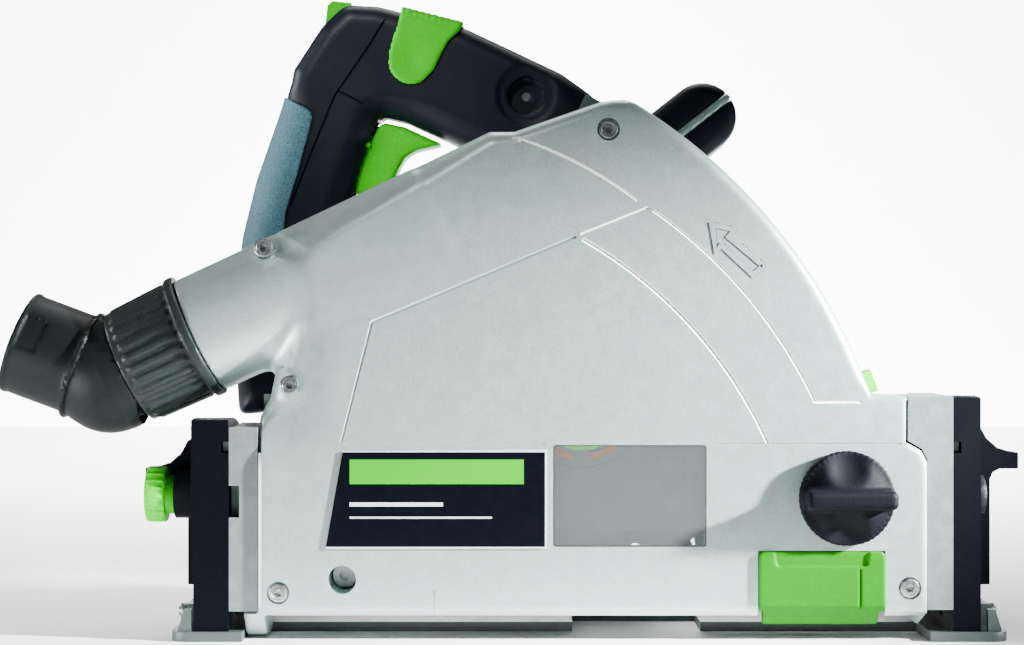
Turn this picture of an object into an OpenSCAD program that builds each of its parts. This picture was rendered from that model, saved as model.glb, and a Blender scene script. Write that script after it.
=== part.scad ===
// Track plunge saw. X runs along the cut with the front at +X, Y runs across it with the blade
// side at -Y, and Z is up from the sole. The origin is the middle of the sole.

/* [Blade] */
// Blade diameter
blade_d = 160; // [150:1:162]
// Blade plate thickness
blade_t = 2.2; // [1.8:0.1:2.6]
// Number of teeth
blade_teeth = 48; // [24:4:56]
// Blade bore diameter
blade_bore = 20; // [20:1:24]

/* [Base] */
// Length of the base plate
base_len = 343; // [340:1:350]
// Width of the base plate
base_w = 160; // [158:1:170]
// Thickness of the base plate
base_t = 4; // [3:0.5:4]
// Width of the groove that runs on the guide rail's spine
rail_w = 16.4; // [15:0.1:18]
// Depth of the guide-rail groove
rail_h = 6; // [4:0.5:6]

/* [Blade cover] */
// Distance of the blade plane from the cover's outer face
face_gap = 13; // [12.6:0.1:13.4]
// Wall thickness of the cover casting
skin = 3; // [2:0.5:3]
// Radius of the cover's front arc about the plunge pivot
front_r = 229; // [228:0.5:231]
// Inner radius of the dust port
port_r = 18.5; // [17:0.5:19]

/* [Plunge] */
// X of the plunge pivot
pivot_x = -101.2; // [-101.6:0.1:-100.8]
// Z of the plunge pivot
pivot_z = 25.3; // [25:0.1:25.6]
// Distance from the plunge pivot to the blade spindle
swing_r = 121.9; // [121.5:0.1:122.3]
// Angle of the spindle above the pivot at rest
swing_a = 36.4; // [36.2:0.1:36.6]
// Angle that the saw head plunges through
plunge_a = 36.6; // [30:0.1:36.6]

/* [Drive] */
// Module of the gear teeth
gear_m = 1.25; // [1.25]
// Teeth on the spindle gear
gear_z = 32; // [32]
// Teeth on the motor pinion
pinion_z = 14; // [14]
// Outer radius of the motor housing
motor_r = 42; // [40:0.5:42]

/* [Handle] */
// Thickness of the main handle
handle_w = 34; // [30:1:34]
// Radius of the front handle bar
front_grip_r = 15.5; // [14:0.5:15.5]

/* [Hidden] */
$fn = 72;
big = 500;
silver = [0.68, 0.74, 0.74];
navy = [0.08, 0.12, 0.19];
black = [0.13, 0.15, 0.16];
green = [0.40, 0.95, 0.12];
steel = [0.75, 0.77, 0.78];

// Planes across the saw
face_y = -base_w / 2;
blade_y = face_y + face_gap;
wall_y = face_y + 29;
wall_t = 3;
case_y = wall_y + 4.5;
case_back = wall_y + 29;

// Blade spindle at rest, and the motor axis beside it
bx = pivot_x + swing_r * cos(swing_a);
bz = pivot_z + swing_r * sin(swing_a);
gear_a = 16.3;
gear_c = gear_m * (gear_z + pinion_z) / 2;
mx = bx - gear_c * sin(gear_a);
mz = bz + gear_c * cos(gear_a);

// Chute: its end, its slope and its radius
chute_x = -162.7;
chute_z = 125.6;
chute_y = face_y + 25.7;
chute_a = 25.2;
chute_r = 25.7;
elbow_a = 45.7;
bend_t = 41.5;
port_len = 40.8;
collar_len = 33;

// Ends of the sole opening, and the end brackets of the guard
cut_x0 = -142;
cut_x1 = 139;
front_x = 138.1;
rear_x = -135.9;
seg_front = [149, 160];
seg_rear = [-163.2, -147.9];
bevel_y = blade_y;
strip_y = [-12, 44, 68];
groove_y = 26;
cam_x = 126;
cam_y = groove_y - rail_w / 2 - 4.6;
clamp_y = -64;
clamp_z = 59;
lever_y = -46;
clamp_r = norm([clamp_y - bevel_y, clamp_z]);
clamp_a = atan2(clamp_z, clamp_y - bevel_y);
screw_pos = [[-133.4, 161], [-122.8, 104.9], [7.6, 209.3], [-127.3, 20], [130.6, 21.9]];

// Screws that reach the inner wall; the other one ends in the chute
wall_screws = [for (p = screw_pos) if (p[0] > -130) p];

// Main handle: middle plane, inner and outer outlines
hy = -10;
h0 = hy - handle_w / 2;
h1 = hy + handle_w / 2;
trigger_x = -94.6;
trigger_z = 208;
handle_outline = [[-104.7, 269.2], [-90, 268.4], [-51.7, 258.7], [-10.6, 239.3], [4.4, 228.7],
    [9, 216], [12, 198], [13, 180], [12, 160], [mx, mz], [-58, 103], [-130, 101], [-140, 91],
    [-151, 90], [-152.5, 114], [-149.2, 166.9], [-143, 192], [-130.4, 228.3], [-128, 235.4],
    [-127.2, 240.6], [-114.8, 259.6]];
handle_hole = [[-88, 220.5], [-77.5, 218], [-58.7, 209.3], [-22, 192], [-12, 176], [-45, 160],
    [-60, 138], [-106, 138], [-103, 172], [-98, 192]];
handle_hollow = [[-149, 112], [-66, 109], [-63, 134.5], [-109.2, 134.5], [-106.3, 172],
    [-101.3, 191.5], [-91.2, 223.8], [-76.3, 221], [-57.4, 212.2], [-19, 194.6], [-10, 184],
    [8, 186], [8, 198],
    [5, 214], [1, 225], [-12, 235], [-52.5, 254.8], [-90, 264.6], [-103, 265.6], [-112, 257.5],
    [-124, 239], [-128, 227], [-139.8, 191], [-146, 166]];

// Draws children in X and Z, and extrudes them from y0 to y1
module slab(y0, y1) {
    translate([0, y1, 0]) rotate([90, 0, 0]) linear_extrude(y1 - y0) children();
}

// Draws children in Y and Z, and extrudes them from x0 to x1
module slice(x0, x1) {
    translate([x0, 0, 0]) rotate([90, 0, 90]) linear_extrude(x1 - x0) children();
}

// Round bar along Y
module rod(x, z, r, y0, y1) {
    translate([x, y1, z]) rotate([90, 0, 0]) cylinder(r = r, h = y1 - y0);
}

// Round bar along X
module bar(y, z, r, x0, x1) {
    translate([x0, y, z]) rotate([0, 90, 0]) cylinder(r = r, h = x1 - x0);
}

// Box from its lowest to its highest corner
module box(a, b) {
    translate(a) cube(b - a);
}

// Ring sector about the origin of a drawing
module sector(r0, r1, a0, a1) {
    far = 2 * r1;
    mid = (a0 + a1) / 2;
    difference() {
        intersection() {
            circle(r = r1, $fn = 180);
            polygon([[0, 0], far * [cos(a0), sin(a0)], far * [cos(mid), sin(mid)],
                far * [cos(a1), sin(a1)]]);
        }
        circle(r = r0, $fn = 180);
    }
}

// Arc-shaped slot with round ends, which are a touch wider so that their edges cross cleanly
module arc_slot(r, half, a0, a1) {
    sector(r - half, r + half, a0, a1);
    for (a = [a0, a1]) {
        rotate(a) translate([r, 0]) circle(r = half + 0.1);
    }
}

// Rectangle with round corners
module round_rect(x0, y0, x1, y1, r) {
    translate([x0, y0 + r]) square([x1 - x0, y1 - y0 - 2 * r]);
    translate([x0 + r, y0]) square([x1 - x0 - 2 * r, y1 - y0]);
    for (x = [x0 + r, x1 - r], y = [y0 + r, y1 - r]) {
        translate([x, y]) circle(r = r);
    }
}

// Moves children from the chute's own frame, Z along the chute away from the saw
module on_chute() {
    translate([chute_x, chute_y, chute_z]) rotate([0, -90 - chute_a, 0]) children();
}

// ---- Base -----------------------------------------------------------------

module base_plate() color(silver) {
    pocket_x = bx + swing_r * (1 - cos(swing_a));
    difference() {
        union() {
            linear_extrude(base_t)
                round_rect(-base_len / 2, -base_w / 2, base_len / 2, base_w / 2, 7);
            box([-base_len / 2 + 3, groove_y - rail_w / 2 - 3, 0],
                [base_len / 2 - 3, groove_y + rail_w / 2 + 3, rail_h + 2.5]);
            box([-base_len / 2 + 8, base_w / 2 - 4, 0], [base_len / 2 - 8, base_w / 2, 8]);
            for (x = [-120 : 40 : 120]) {
                box([x - 1.5, groove_y + rail_w / 2, 0], [x + 1.5, base_w / 2 - 2, 7]);
            }
            for (x = [-cam_x, cam_x]) {
                translate([x, cam_y, 0]) cylinder(r = 9, h = rail_h + 2.5);
            }
            for (s = [-1, 1]) {
                // End flange behind each segment, with its sloping gussets
                box([s > 0 ? 160.3 : -base_len / 2 + 4, -60, 0],
                    [s > 0 ? base_len / 2 - 4 : -163.5, 12, 13]);
                for (y = [-78, 14]) {
                    slab(y, y + 3)
                        polygon([[s * 163, 0], [s * 163, 13], [s * 166, 13], [s * 170, 0]]);
                }
            }
        }
        box([cut_x0, -base_w, -1], [cut_x1, wall_y + 1, 30]);
        box([pocket_x - 27, wall_y, -1], [pocket_x + 27, case_back + 2, 30]);
        box([-base_len, groove_y - rail_w / 2, -1], [base_len, groove_y + rail_w / 2, rail_h]);
        for (y = strip_y) {
            box([-150, y - 4.2, -1], [150, y + 4.2, 0.8]);
        }
        for (x = [-165.5, 164], y = [-52, 4]) {
            bar(y, 9, 2.1, x - 12, x + 12);
        }
        for (x = [-cam_x, cam_x]) {
            translate([x, cam_y, -1]) cylinder(r = 6.4, h = rail_h + 1);
            translate([x, cam_y, 0]) cylinder(r = 3.1, h = 30);
        }
    }
}

module glide_strips() color([0.35, 0.9, 0.15]) {
    for (y = strip_y) {
        box([-149.8, y - 4, 0], [149.8, y + 4, 0.8]);
    }
}

// Upright end plate that carries the bevel scale, standing on the base
module segment(x0, x1, r, top_y) {
    difference() {
        slice(x0, x1) intersection() {
            translate([bevel_y, 0]) circle(r = r, $fn = 180);
            translate([bevel_y - 11, base_t]) square([top_y - bevel_y + 11, r]);
        }
        bar(clamp_y, clamp_z, 4.3, x0 - 1, x1 + 1);
        bar(-52, 9, 2.1, x0 - 1, x1 + 1);
        bar(4, 9, 2.1, x0 - 1, x1 + 1);
        // Shoulder that the front handle passes over at full depth
        box([x0 - 1, -32, 78], [x1 + 1, 40, 110]);
    }
}

module front_segment() color(navy) {
    difference() {
        segment(seg_front[0], seg_front[1], 100.2, 14);
        slice(seg_front[0] - 1, seg_front[0] + 3) {
            translate([bevel_y, 0]) sector(77.7, 82.3, 56, 150);
        }
        bar(lever_y, 30, 2.6, seg_front[1] - 6, seg_front[1] + 1);
    }
}

module rear_segment() color(navy) {
    difference() {
        union() {
            segment(seg_rear[0], seg_rear[1], 91, 14);
            bar(clamp_y, clamp_z, 9.8, seg_rear[0] - 8, seg_rear[0] + 1);
        }
        bar(clamp_y, clamp_z, 4.3, seg_rear[0] - 9, seg_rear[0] + 2);
        slice(seg_rear[1] - 3, seg_rear[1] + 1) {
            translate([bevel_y, 0]) sector(77.7, 82.3, 56, 150);
        }
        box([seg_rear[0] - 1, -79, 0], [seg_rear[0] + 1, 30, 23.8]);
        bar(lever_y, 30, 2.6, seg_rear[0] - 1, seg_rear[0] + 6);
    }
}

module segment_screws() color(steel) {
    for (y = [-52, 4]) {
        bar(y, 9, 2, seg_front[0] + 1, 172);
        bar(y, 9, 3.4, 167.6, 171);
        bar(y, 9, 2, -172, seg_rear[1] - 1);
        bar(y, 9, 3.4, -171, -167.6);
    }
}

module clamp_bolts() color(steel) {
    bar(clamp_y, clamp_z, 4, front_x + 1.2, 162);
    difference() {
        bar(clamp_y, clamp_z, 8, 160, 163.8);
        translate([161.5, clamp_y, clamp_z]) rotate([0, 90, 0]) cylinder(r = 3.5, h = 6, $fn = 6);
    }
    bar(clamp_y, clamp_z, 4, -181.2, rear_x - 1.2);
    for (x = [front_x + 1.2, rear_x - 4.2]) {
        bar(clamp_y, clamp_z, 7, x, x + 3);
    }
}

module rear_clamp_knob() color(green) {
    lobes = 20;
    difference() {
        union() {
            bar(clamp_y, clamp_z, 11, -183, -175);
            for (i = [0 : lobes - 1]) {
                a = i * 360 / lobes;
                bar(clamp_y + 10.4 * cos(a), clamp_z + 10.4 * sin(a), 1, -182.6, -175.4);
            }
            bar(clamp_y, clamp_z, 8, -175.2, -171.5);
        }
        bar(clamp_y, clamp_z, 4.06, -181.4, -170);
    }
}

// Lever that releases the bevel stop: body against the segment, finger tab near the top
module stop_lever(s, x, tab_z, body, tip) {
    mirror([s > 0 ? 0 : 1, 0, 0]) {
        slab(lever_y - 5, lever_y + 5)
            polygon([[x, 19.9], [x + body, 19.9], [x + body, tab_z - 4.5],
                [x + body + 1.3, tab_z - 1.5], [x + body + 4, tab_z],
                [x + tip, tab_z], [x + tip, tab_z + 6.8],
                [x + 18, tab_z + 7.2], [x + 12.5, tab_z + 9], [x + 8, tab_z + 13],
                [x + 5, tab_z + 18.5], [x, tab_z + 18.5]]);
        bar(lever_y, 30, 2.5, x - 5.5, x);
    }
}

module front_stop_lever() color(navy) {
    stop_lever(1, seg_front[1] + 0.3, 68.7, 9.5, 21.5);
}

module rear_stop_lever() color(navy) {
    stop_lever(-1, -seg_rear[0] + 0.3, 62.3, 5, 22.9);
}

// Eccentric that takes up the play on the guide rail, turned by its head
module rail_cam(x) {
    difference() {
        union() {
            translate([x, cam_y - 1, 0.6]) cylinder(r = 5, h = rail_h - 0.9);
            translate([x, cam_y, rail_h - 1]) cylinder(r = 3, h = 4);
            translate([x, cam_y, rail_h + 2.8]) cylinder(r = 8.5, h = 2.8);
        }
        translate([x - 6, cam_y - 0.8, rail_h + 4.2]) cube([12, 1.6, 3]);
    }
}

module front_rail_cam() color(green) {
    rail_cam(cam_x);
}

module rear_rail_cam() color(green) {
    rail_cam(-cam_x);
}

// ---- Guard ----------------------------------------------------------------

// Upper outline of the guard: duct line, crown and front arc
module crown(r) {
    intersection() {
        translate([pivot_x, pivot_z]) circle(r = r, $fn = 360);
        polygon([[-150, 60], [-150, 158], [-128.5, 168.1], [-49.8, 204.8], [-41, 209],
            [-31, 208.9], [4.1, 221.1], [9.5, 222.3], [14.5, 222.1], [20.8, 219.5],
            [200, 219.5], [200, 60]]);
    }
}

// Whole outline of the blade cover in X and Z
module cover_outline() {
    intersection() {
        crown(front_r);
        polygon([[-135.7, 90], [-131.4, 98.7], [-136, 106], [-145, 170], [-60, 240],
            [150, 240], [150, 90]]);
    }
    polygon([[-141.6, 1.2], [-120.4, 1.2], [-120.4, 7.3], [116, 7.8], [116, 3.7], [133.8, 3.7],
        [137.9, 12], [137.9, 73], [135.5, 78], [129.7, 81.2], [129.7, 100.2], [-131, 99.4],
        [-135.7, 91.4], [-135.7, 11.8], [-141.6, 11.8]]);
    translate([-92.6, 18.1]) circle(r = 15.9);
}

// Hollow of the cover, where the blade runs
module cover_hollow() {
    intersection() {
        translate([pivot_x, pivot_z]) circle(r = front_r - skin, $fn = 360);
        polygon([[-132.7, -20], [-132.7, 92], [-128, 99], [-132, 107], [-132, 163],
            [-48.5, 202], [-30, 205.9], [4.6, 218], [14, 218.8], [20, 216], [160, 216],
            [160, 97.2], [126.7, 97.2], [126.7, 78], [134.5, 72], [134.5, -20]]);
    }
}

// Slanting plane that lets the guard tilt to 45 degrees without leaving the sole
module tilt_relief() {
    slice(-big, big) polygon([[blade_y, 0], [blade_y - 80, 80], [blade_y - 80, -80],
        [blade_y, -80]]);
}

module chute(r, t0, t1) {
    on_chute() translate([0, 0, t0]) cylinder(r = r, h = t1 - t0);
}

// Casing and chute, hollow, before their fittings
module cover_shell() {
    difference() {
        union() {
            slab(face_y, wall_y) cover_outline();
            chute(chute_r, -106, 0);
        }
        slab(face_y + skin, wall_y + 1) cover_hollow();
        chute(chute_r - skin, -103, -0.5);
        chute(19, -20, 13);
    }
    // The chute's far half closes the casing beside the inner wall
    difference() {
        chute(chute_r, -106, 0);
        chute(chute_r - skin, -103, -0.5);
        chute(19, -20, 13);
        slab(face_y - 1, wall_y) cover_hollow();
    }
}

module blade_cover() color(silver) {
    difference() {
        union() {
            cover_shell();
            rod(pivot_x, pivot_z, 9, face_y + 1, wall_y - 0.2);
            for (p = screw_pos) {
                rod(p[0], p[1], 5.6, face_y + 1, wall_y - 0.2);
            }
            on_chute() difference() {
                translate([0, 0, -2]) cylinder(r = 21.4, h = 14);
                translate([0, 0, -3]) cylinder(r = 19, h = 16);
            }
        }
        tilt_relief();
        // Window with its rebate, pivot hole, screw holes and splinter-guard notch
        slab(face_y - 1, face_y + 1.6) round_rect(-15.1, 38.8, 47.7, 80.5, 1.5);
        slab(face_y - 1, face_y + 5) round_rect(-14.3, 39.6, 46.9, 79.7, 1.5);
        rod(pivot_x, pivot_z, 5.8, face_y - 1, wall_y + 1);
        for (p = screw_pos) {
            rod(p[0], p[1], 4.5, face_y - 1, face_y + 2.2);
            rod(p[0], p[1], 2.2, face_y - 1, wall_y + 1);
        }
        slab(face_y - 1, face_y + 10) translate([68.6, -1]) square([52, 38.2]);
        slab(face_y - 1, face_y + 5) round_rect(99.9, 46, 108.9, 63.4, 4.4);
        slab(face_y - 1, face_y + 1) translate([-63.9, 7.8]) square([0.8, 13.4]);
    }
}

module cover_screws() color(steel) {
    for (p = screw_pos) {
        difference() {
            union() {
                rod(p[0], p[1], 3.9, face_y + 0.2, face_y + 2.2);
                rod(p[0], p[1], 2, face_y + 2.2, wall_y + 2);
            }
            translate([p[0], face_y + 1.4, p[1]]) rotate([90, 0, 0]) cylinder(r = 2, h = 3, $fn = 6);
        }
    }
}

module view_window() color([0.8, 0.9, 0.95, 0.4]) {
    slab(face_y + 0.2, face_y + 1.6) round_rect(-15, 38.9, 47.6, 80.4, 1.5);
}

module name_plate() color(navy) {
    slab(face_y - 0.6, face_y) polygon([[-100.9, 77.9], [-17.7, 78.5], [-17.7, 38.3],
        [-107.9, 38.1]]);
}

// Slotted end bracket that joins the guard to a segment
module bracket(x0, x1, low_z, top_z, arc_x0, arc_x1) {
    difference() {
        union() {
            slice(x0, x1) difference() {
                polygon([[bevel_y - 11, low_z], [20, low_z], [20, 40], [-4, 66], [-20, 73], [-32, 73],
                    [-34, top_z], [bevel_y - 11, top_z]]);
                translate([bevel_y, 0]) arc_slot(clamp_r, 4.4, clamp_a - 45.5, clamp_a + 1);
            }
            slice(arc_x0, arc_x1) intersection() {
                translate([bevel_y, 0]) sector(78, 82, 62, 96);
                translate([bevel_y - 11, low_z]) square([100, top_z - low_z]);
            }
        }
        // Pocket for the clamp nut, which slides along the slot
        slice(x0 < 0 ? x1 - 5.5 : x0 - 1, x0 < 0 ? x1 + 1 : x0 + 5.5) {
            translate([bevel_y, 0]) arc_slot(clamp_r, 7.5, clamp_a - 45.5, clamp_a + 1);
        }
    }
}

module guard_frame() color(silver) {
    difference() {
        union() {
            slab(wall_y, wall_y + wall_t) union() {
                intersection() {
                    crown(front_r);
                    translate([-129, 90]) square([300, 160]);
                }
                translate([rear_x - 0.5, 8.5]) square([front_x - rear_x + 1, 91.7]);
            }
            bracket(front_x, 148.7, 12.8, 100.2, 148, 151.5);
            // Top of the front bracket beside the cover's stepped edge
            slab(face_y + 2, wall_y + 1) polygon([[130.3, 81.9], [135.9, 78.7], [138.3, 74],
                [front_x + 1, 74], [front_x + 1, 100.2], [130.3, 100.2]]);
            bracket(-147.6, rear_x, 12.2, 87.5, -150.4, -147);
            // Outer ear of the plunge pivot, carried by the rear bracket
            slab(wall_y + 28, wall_y + 33) {
                translate([rear_x - 0.5, pivot_z - 12]) square([pivot_x - rear_x + 0.5, 24]);
                translate([pivot_x, pivot_z]) circle(r = 12);
            }
            rod(pivot_x, pivot_z, 12, wall_y, wall_y + wall_t + 0.6);
            for (p = wall_screws) {
                rod(p[0], p[1], 5, wall_y + 0.5, wall_y + 5);
            }
        }
        slab(wall_y - 1, wall_y + wall_t + 1) translate([pivot_x, pivot_z])
            arc_slot(swing_r, 25.2, swing_a - plunge_a - 1.6, swing_a + 0.8);
        box([pivot_x + 118, wall_y - 1, 0], [pivot_x + 148, wall_y + 6, 24]);
        rod(pivot_x, pivot_z, 5.05, wall_y - 1, wall_y + 40);
        chute(chute_r + 0.3, -106.4, 1);
        for (p = wall_screws) {
            rod(p[0], p[1], 2.1, wall_y - 1, wall_y + 7);
        }
        // Notch in the rear bracket's edge
        box([-148, -79, 50.6], [-143.4, -70, 63.6]);
    }
}

module pivot_shaft() color(steel) {
    difference() {
        rod(pivot_x, pivot_z, 5, face_y + 16, wall_y + 36);
        rod(pivot_x, pivot_z, 2.2, face_y + 15, face_y + 19);
    }
    difference() {
        rod(pivot_x, pivot_z, 8, wall_y + 33.2, wall_y + 36);
        rod(pivot_x, pivot_z, 4.9, wall_y + 32, wall_y + 34);
    }
}

module pivot_bushes() color([0.72, 0.55, 0.25]) {
    for (y = [wall_y + 5, wall_y + 12]) {
        difference() {
            rod(pivot_x, pivot_z, 7.2, y, y + 5);
            rod(pivot_x, pivot_z, 5.06, y - 1, y + 6);
        }
    }
}

// Torsion spring round the pivot shaft, with one leg on the guard
module plunge_spring() color(steel) {
    turns = 4;
    pitch = 1.9;
    for (i = [0 : turns - 1]) {
        translate([pivot_x, wall_y + 20.2 + i * pitch, pivot_z]) rotate([90, 0, 0])
            rotate_extrude() translate([8.6, 0]) circle(r = 0.9, $fn = 16);
    }
    translate([pivot_x - 24, wall_y + 26, pivot_z + 8.6]) rotate([0, 90, 0])
        cylinder(r = 0.9, h = 24, $fn = 16);
}

module depth_scale() color(steel) {
    slab(wall_y + wall_t + 0.1, wall_y + wall_t + 1.6) translate([pivot_x, pivot_z])
        difference() {
            sector(204, 226, 18, 57);
            for (a = [20 : 3 : 55]) {
                rotate(a) translate([221, -0.3]) square([6, 0.6]);
            }
        }
}

module depth_stop() color(green) {
    slab(wall_y + wall_t + 1.9, wall_y + 17) translate([pivot_x, pivot_z]) difference() {
        union() {
            sector(207, 232.5, 17.6, 22.6);
            sector(230, 237.5, 18.7, 21);
        }
        rotate(20.1) translate([217, 0]) circle(r = 4.2);
    }
}

module depth_stop_button() color(navy) {
    translate([pivot_x, 0, pivot_z]) rotate([0, -20.1, 0]) {
        rod(217, 0, 4, wall_y + wall_t + 3.5, wall_y + 19);
    }
}

// ---- Splinter guard --------------------------------------------------------

module splinter_guard() color(green) {
    difference() {
        union() {
            slab(face_y - 1.5, face_y + 4.5) difference() {
                translate([68.9, 6.4]) square([51.4, 30.5]);
                for (x = [68.9, 118.3]) {
                    translate([x - 0.1, 8.7]) square([2.1, 3.7]);
                }
            }
            box([71, face_y + 4, 6.4], [118.2, face_y + 9.6, 14]);
        }
        tilt_relief();
        slab(face_y - 3, face_y - 0.6) translate([75.5, 30.6]) square([37.9, 7]);
        slab(face_y - 3, face_y - 0.6) translate([109.9, 14]) square([0.5, 16]);
    }
}

module splinter_carrier() color(steel) {
    slab(face_y + 4.7, face_y + 6.7) round_rect(76, 17, 117, 72, 3);
    rod(104.4, 58.8, 4, face_y - 9, face_y + 5);
    for (x = [80, 114]) {
        rod(x, 24, 2.4, face_y + 6.7, face_y + 8.2);
    }
}

module splinter_knob() color(navy) {
    difference() {
        union() {
            rod(104.4, 58.8, 19.6, face_y - 5.5, face_y - 0.4);
            intersection() {
                rod(104.4, 58.8, 19.6, face_y - 16, face_y - 5);
                box([80, face_y - 17, 55.05], [130, face_y - 4, 62.55]);
            }
            rod(104.4, 58.8, 8, face_y - 13, face_y - 5);
        }
        rod(104.4, 58.8, 4.06, face_y - 9.2, face_y + 1);
    }
}

// ---- Dust port ---------------------------------------------------------------

module dust_collar() color(black) {
    ribs = 30;
    on_chute() difference() {
        union() {
            translate([0, 0, 0.4]) cylinder(r = 27, h = 4);
            translate([0, 0, 4]) cylinder(r1 = 25.2, r2 = 24.2, h = collar_len - 4);
            for (i = [0 : ribs - 1]) {
                rotate(i * 360 / ribs) translate([24, -0.9, 4]) cube([2, 1.8, collar_len - 7]);
            }
        }
        translate([0, 0, -1]) cylinder(r = 21.46, h = 15);
        translate([0, 0, 10]) cylinder(r = 20.4, h = 40);
    }
}

// Moves children to the port's own frame, Z out of the port
module on_port() {
    on_chute() translate([0, 0, bend_t]) rotate([0, elbow_a, 0]) children();
}

// Elbow shape: straight neck, round corner and straight port
module elbow_solid(neck, corner, port, t0, t1) {
    on_chute() translate([0, 0, t0]) cylinder(r = neck, h = bend_t - t0);
    on_chute() translate([0, 0, bend_t]) sphere(r = corner);
    on_port() cylinder(r = port, h = t1);
}

module dust_elbow() color(black) {
    difference() {
        union() {
            elbow_solid(24, 24, 21.4, collar_len, port_len);
            on_port() translate([0, 0, port_len - 3]) cylinder(r = 21.9, h = 3);
            on_port() translate([-23.2, -3, port_len - 12]) cube([4, 6, 8]);
        }
        elbow_solid(20.4, 20.4, port_r, collar_len - 1, port_len + 1);
        chute(30, 5, collar_len);
    }
}

// ---- Drive -------------------------------------------------------------------

// Point of an involute that starts on a base circle of radius rb, at roll angle a
function involute(rb, a) = [rb * (cos(a) + a * PI / 180 * sin(a)),
    rb * (sin(a) - a * PI / 180 * cos(a))];
function turn(p, a) = [p[0] * cos(a) - p[1] * sin(a), p[0] * sin(a) + p[1] * cos(a)];
function mirror_y(p) = [p[0], -p[1]];

// Roll angle at which the involute of base radius rb reaches radius r
function roll(rb, r) = r <= rb ? 0 : sqrt(pow(r / rb, 2) - 1) * 180 / PI;

// Spur gear drawing with z teeth and involute flanks, thinned by play at the pitch circle
module gear_drawing(z, play) {
    r = gear_m * z / 2;
    rb = r * cos(20);
    tip = r + 0.95 * gear_m;
    root = r - 1.2 * gear_m;
    steps = 4;
    pitch_p = involute(rb, roll(rb, r));
    half = 90 / z - play * 90 / (PI * r) + atan2(pitch_p[1], pitch_p[0]);
    flank = [for (i = [0 : steps]) involute(rb, roll(rb, tip) * i / steps)];
    right = [for (p = flank) turn(p, -half)];
    left = [for (i = [steps : -1 : 0]) mirror_y(right[i])];
    circle(r = root, $fn = 96);
    for (i = [0 : z - 1]) {
        rotate(i * 360 / z) polygon(concat([[root - 1, right[0][1] * 0.9]], right, left,
            [[root - 1, -right[0][1] * 0.9]]));
    }
}

module head_case() {
    translate([bx, bz]) circle(r = 24, $fn = 120);
    translate([mx, mz]) circle(r = motor_r, $fn = 120);
}

module gear_housing() color(silver) {
    difference() {
        union() {
            rod(bx, bz, 23.5, wall_y - 8, case_y + 1);
            slab(case_y, case_back) head_case();
            // Arm back to the plunge pivot
            slab(case_y, case_y + 13) translate([pivot_x, pivot_z]) rotate(swing_a) {
                polygon([[0, -12], [swing_r, -14], [swing_r, 30], [swing_r - 30, 38], [0, 12]]);
                circle(r = 12);
            }
            // Striker that meets the depth stop
            slab(wall_y + 6.5, wall_y + 15) {
                polygon([[-36, 150], [8, 150], [3, 201], [-8, 208]]);
                translate([pivot_x, pivot_z]) sector(200, 226, 59.8, 63.5);
            }
        }
        // Gear room, bearing seats and pivot bore
        slab(case_y + 3, case_back - 8) {
            translate([bx, bz]) circle(r = 21.9);
            translate([mx, mz]) circle(r = 10.8);
        }
        rod(bx, bz, 14, wall_y - 6.5, case_y + 4);
        rod(bx, bz, 7.5, wall_y - 10, case_y + 4);
        rod(bx, bz, 11.03, case_back - 9, case_back - 0.5);
        rod(mx, mz, 11.03, case_back - 9, case_back - 0.5);
        rod(mx, mz, 6, case_back - 2, case_back + 1);
        rod(pivot_x, pivot_z, 7.22, case_y - 1, case_y + 14);
    }
}

module slot_shield() color(steel) {
    difference() {
        slab(case_y - 0.9, case_y) translate([pivot_x, pivot_z])
            sector(swing_r - 24, swing_r + 24, swing_a - 11, swing_a + 48);
        chute(chute_r + 1, -108, 0);
        rod(bx, bz, 23.7, case_y - 2, case_y + 1);
    }
}

module riving_knife() color(steel) {
    slab(blade_y - 0.9, blade_y + 0.9) translate([bx, bz]) sector(83.5, 98, 196, 238);
    slab(blade_y + 0.9, wall_y - 3.5) translate([bx, bz]) sector(84.5, 92, 216, 228);
    slab(wall_y - 7, wall_y - 3.5) translate([bx, bz]) {
        difference() {
            union() {
                circle(r = 28);
                rotate(222) translate([20, -7]) square([66, 14]);
            }
            circle(r = 23.6);
        }
    }
}

module ring_bearing(x, z, outer, inner, y0, y1) {
    mid = (outer + inner) / 2;
    translate([x, y1, z]) rotate([90, 0, 0]) rotate_extrude() difference() {
        translate([inner, 0]) square([outer - inner, y1 - y0]);
        translate([mid - 1, -1]) square([2, 1.8]);
        translate([mid - 1, y1 - y0 - 0.8]) square([2, 1.8]);
    }
}

module spindle_bearings() color(steel) {
    ring_bearing(bx, bz, 13.97, 6.05, wall_y - 6.4, case_y + 3);
    ring_bearing(bx, bz, 11, 4.05, case_back - 7.7, case_back - 0.7);
}

module rotor_bearings() color(steel) {
    ring_bearing(mx, mz, 11, 5.05, case_back - 7.7, case_back - 0.7);
    ring_bearing(mx, mz, 11, 5.05, 64, 71);
}

module spindle() color(steel) {
    difference() {
        union() {
            rod(bx, bz, 6, blade_y - 1, case_y + 4);
            rod(bx, bz, 7, case_y + 3.3, case_back - 8.2);
            rod(bx, bz, 4, case_back - 9, case_back - 1);
        }
        rod(bx, bz, 4.05, blade_y - 2, blade_y + 13);
    }
}

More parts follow.
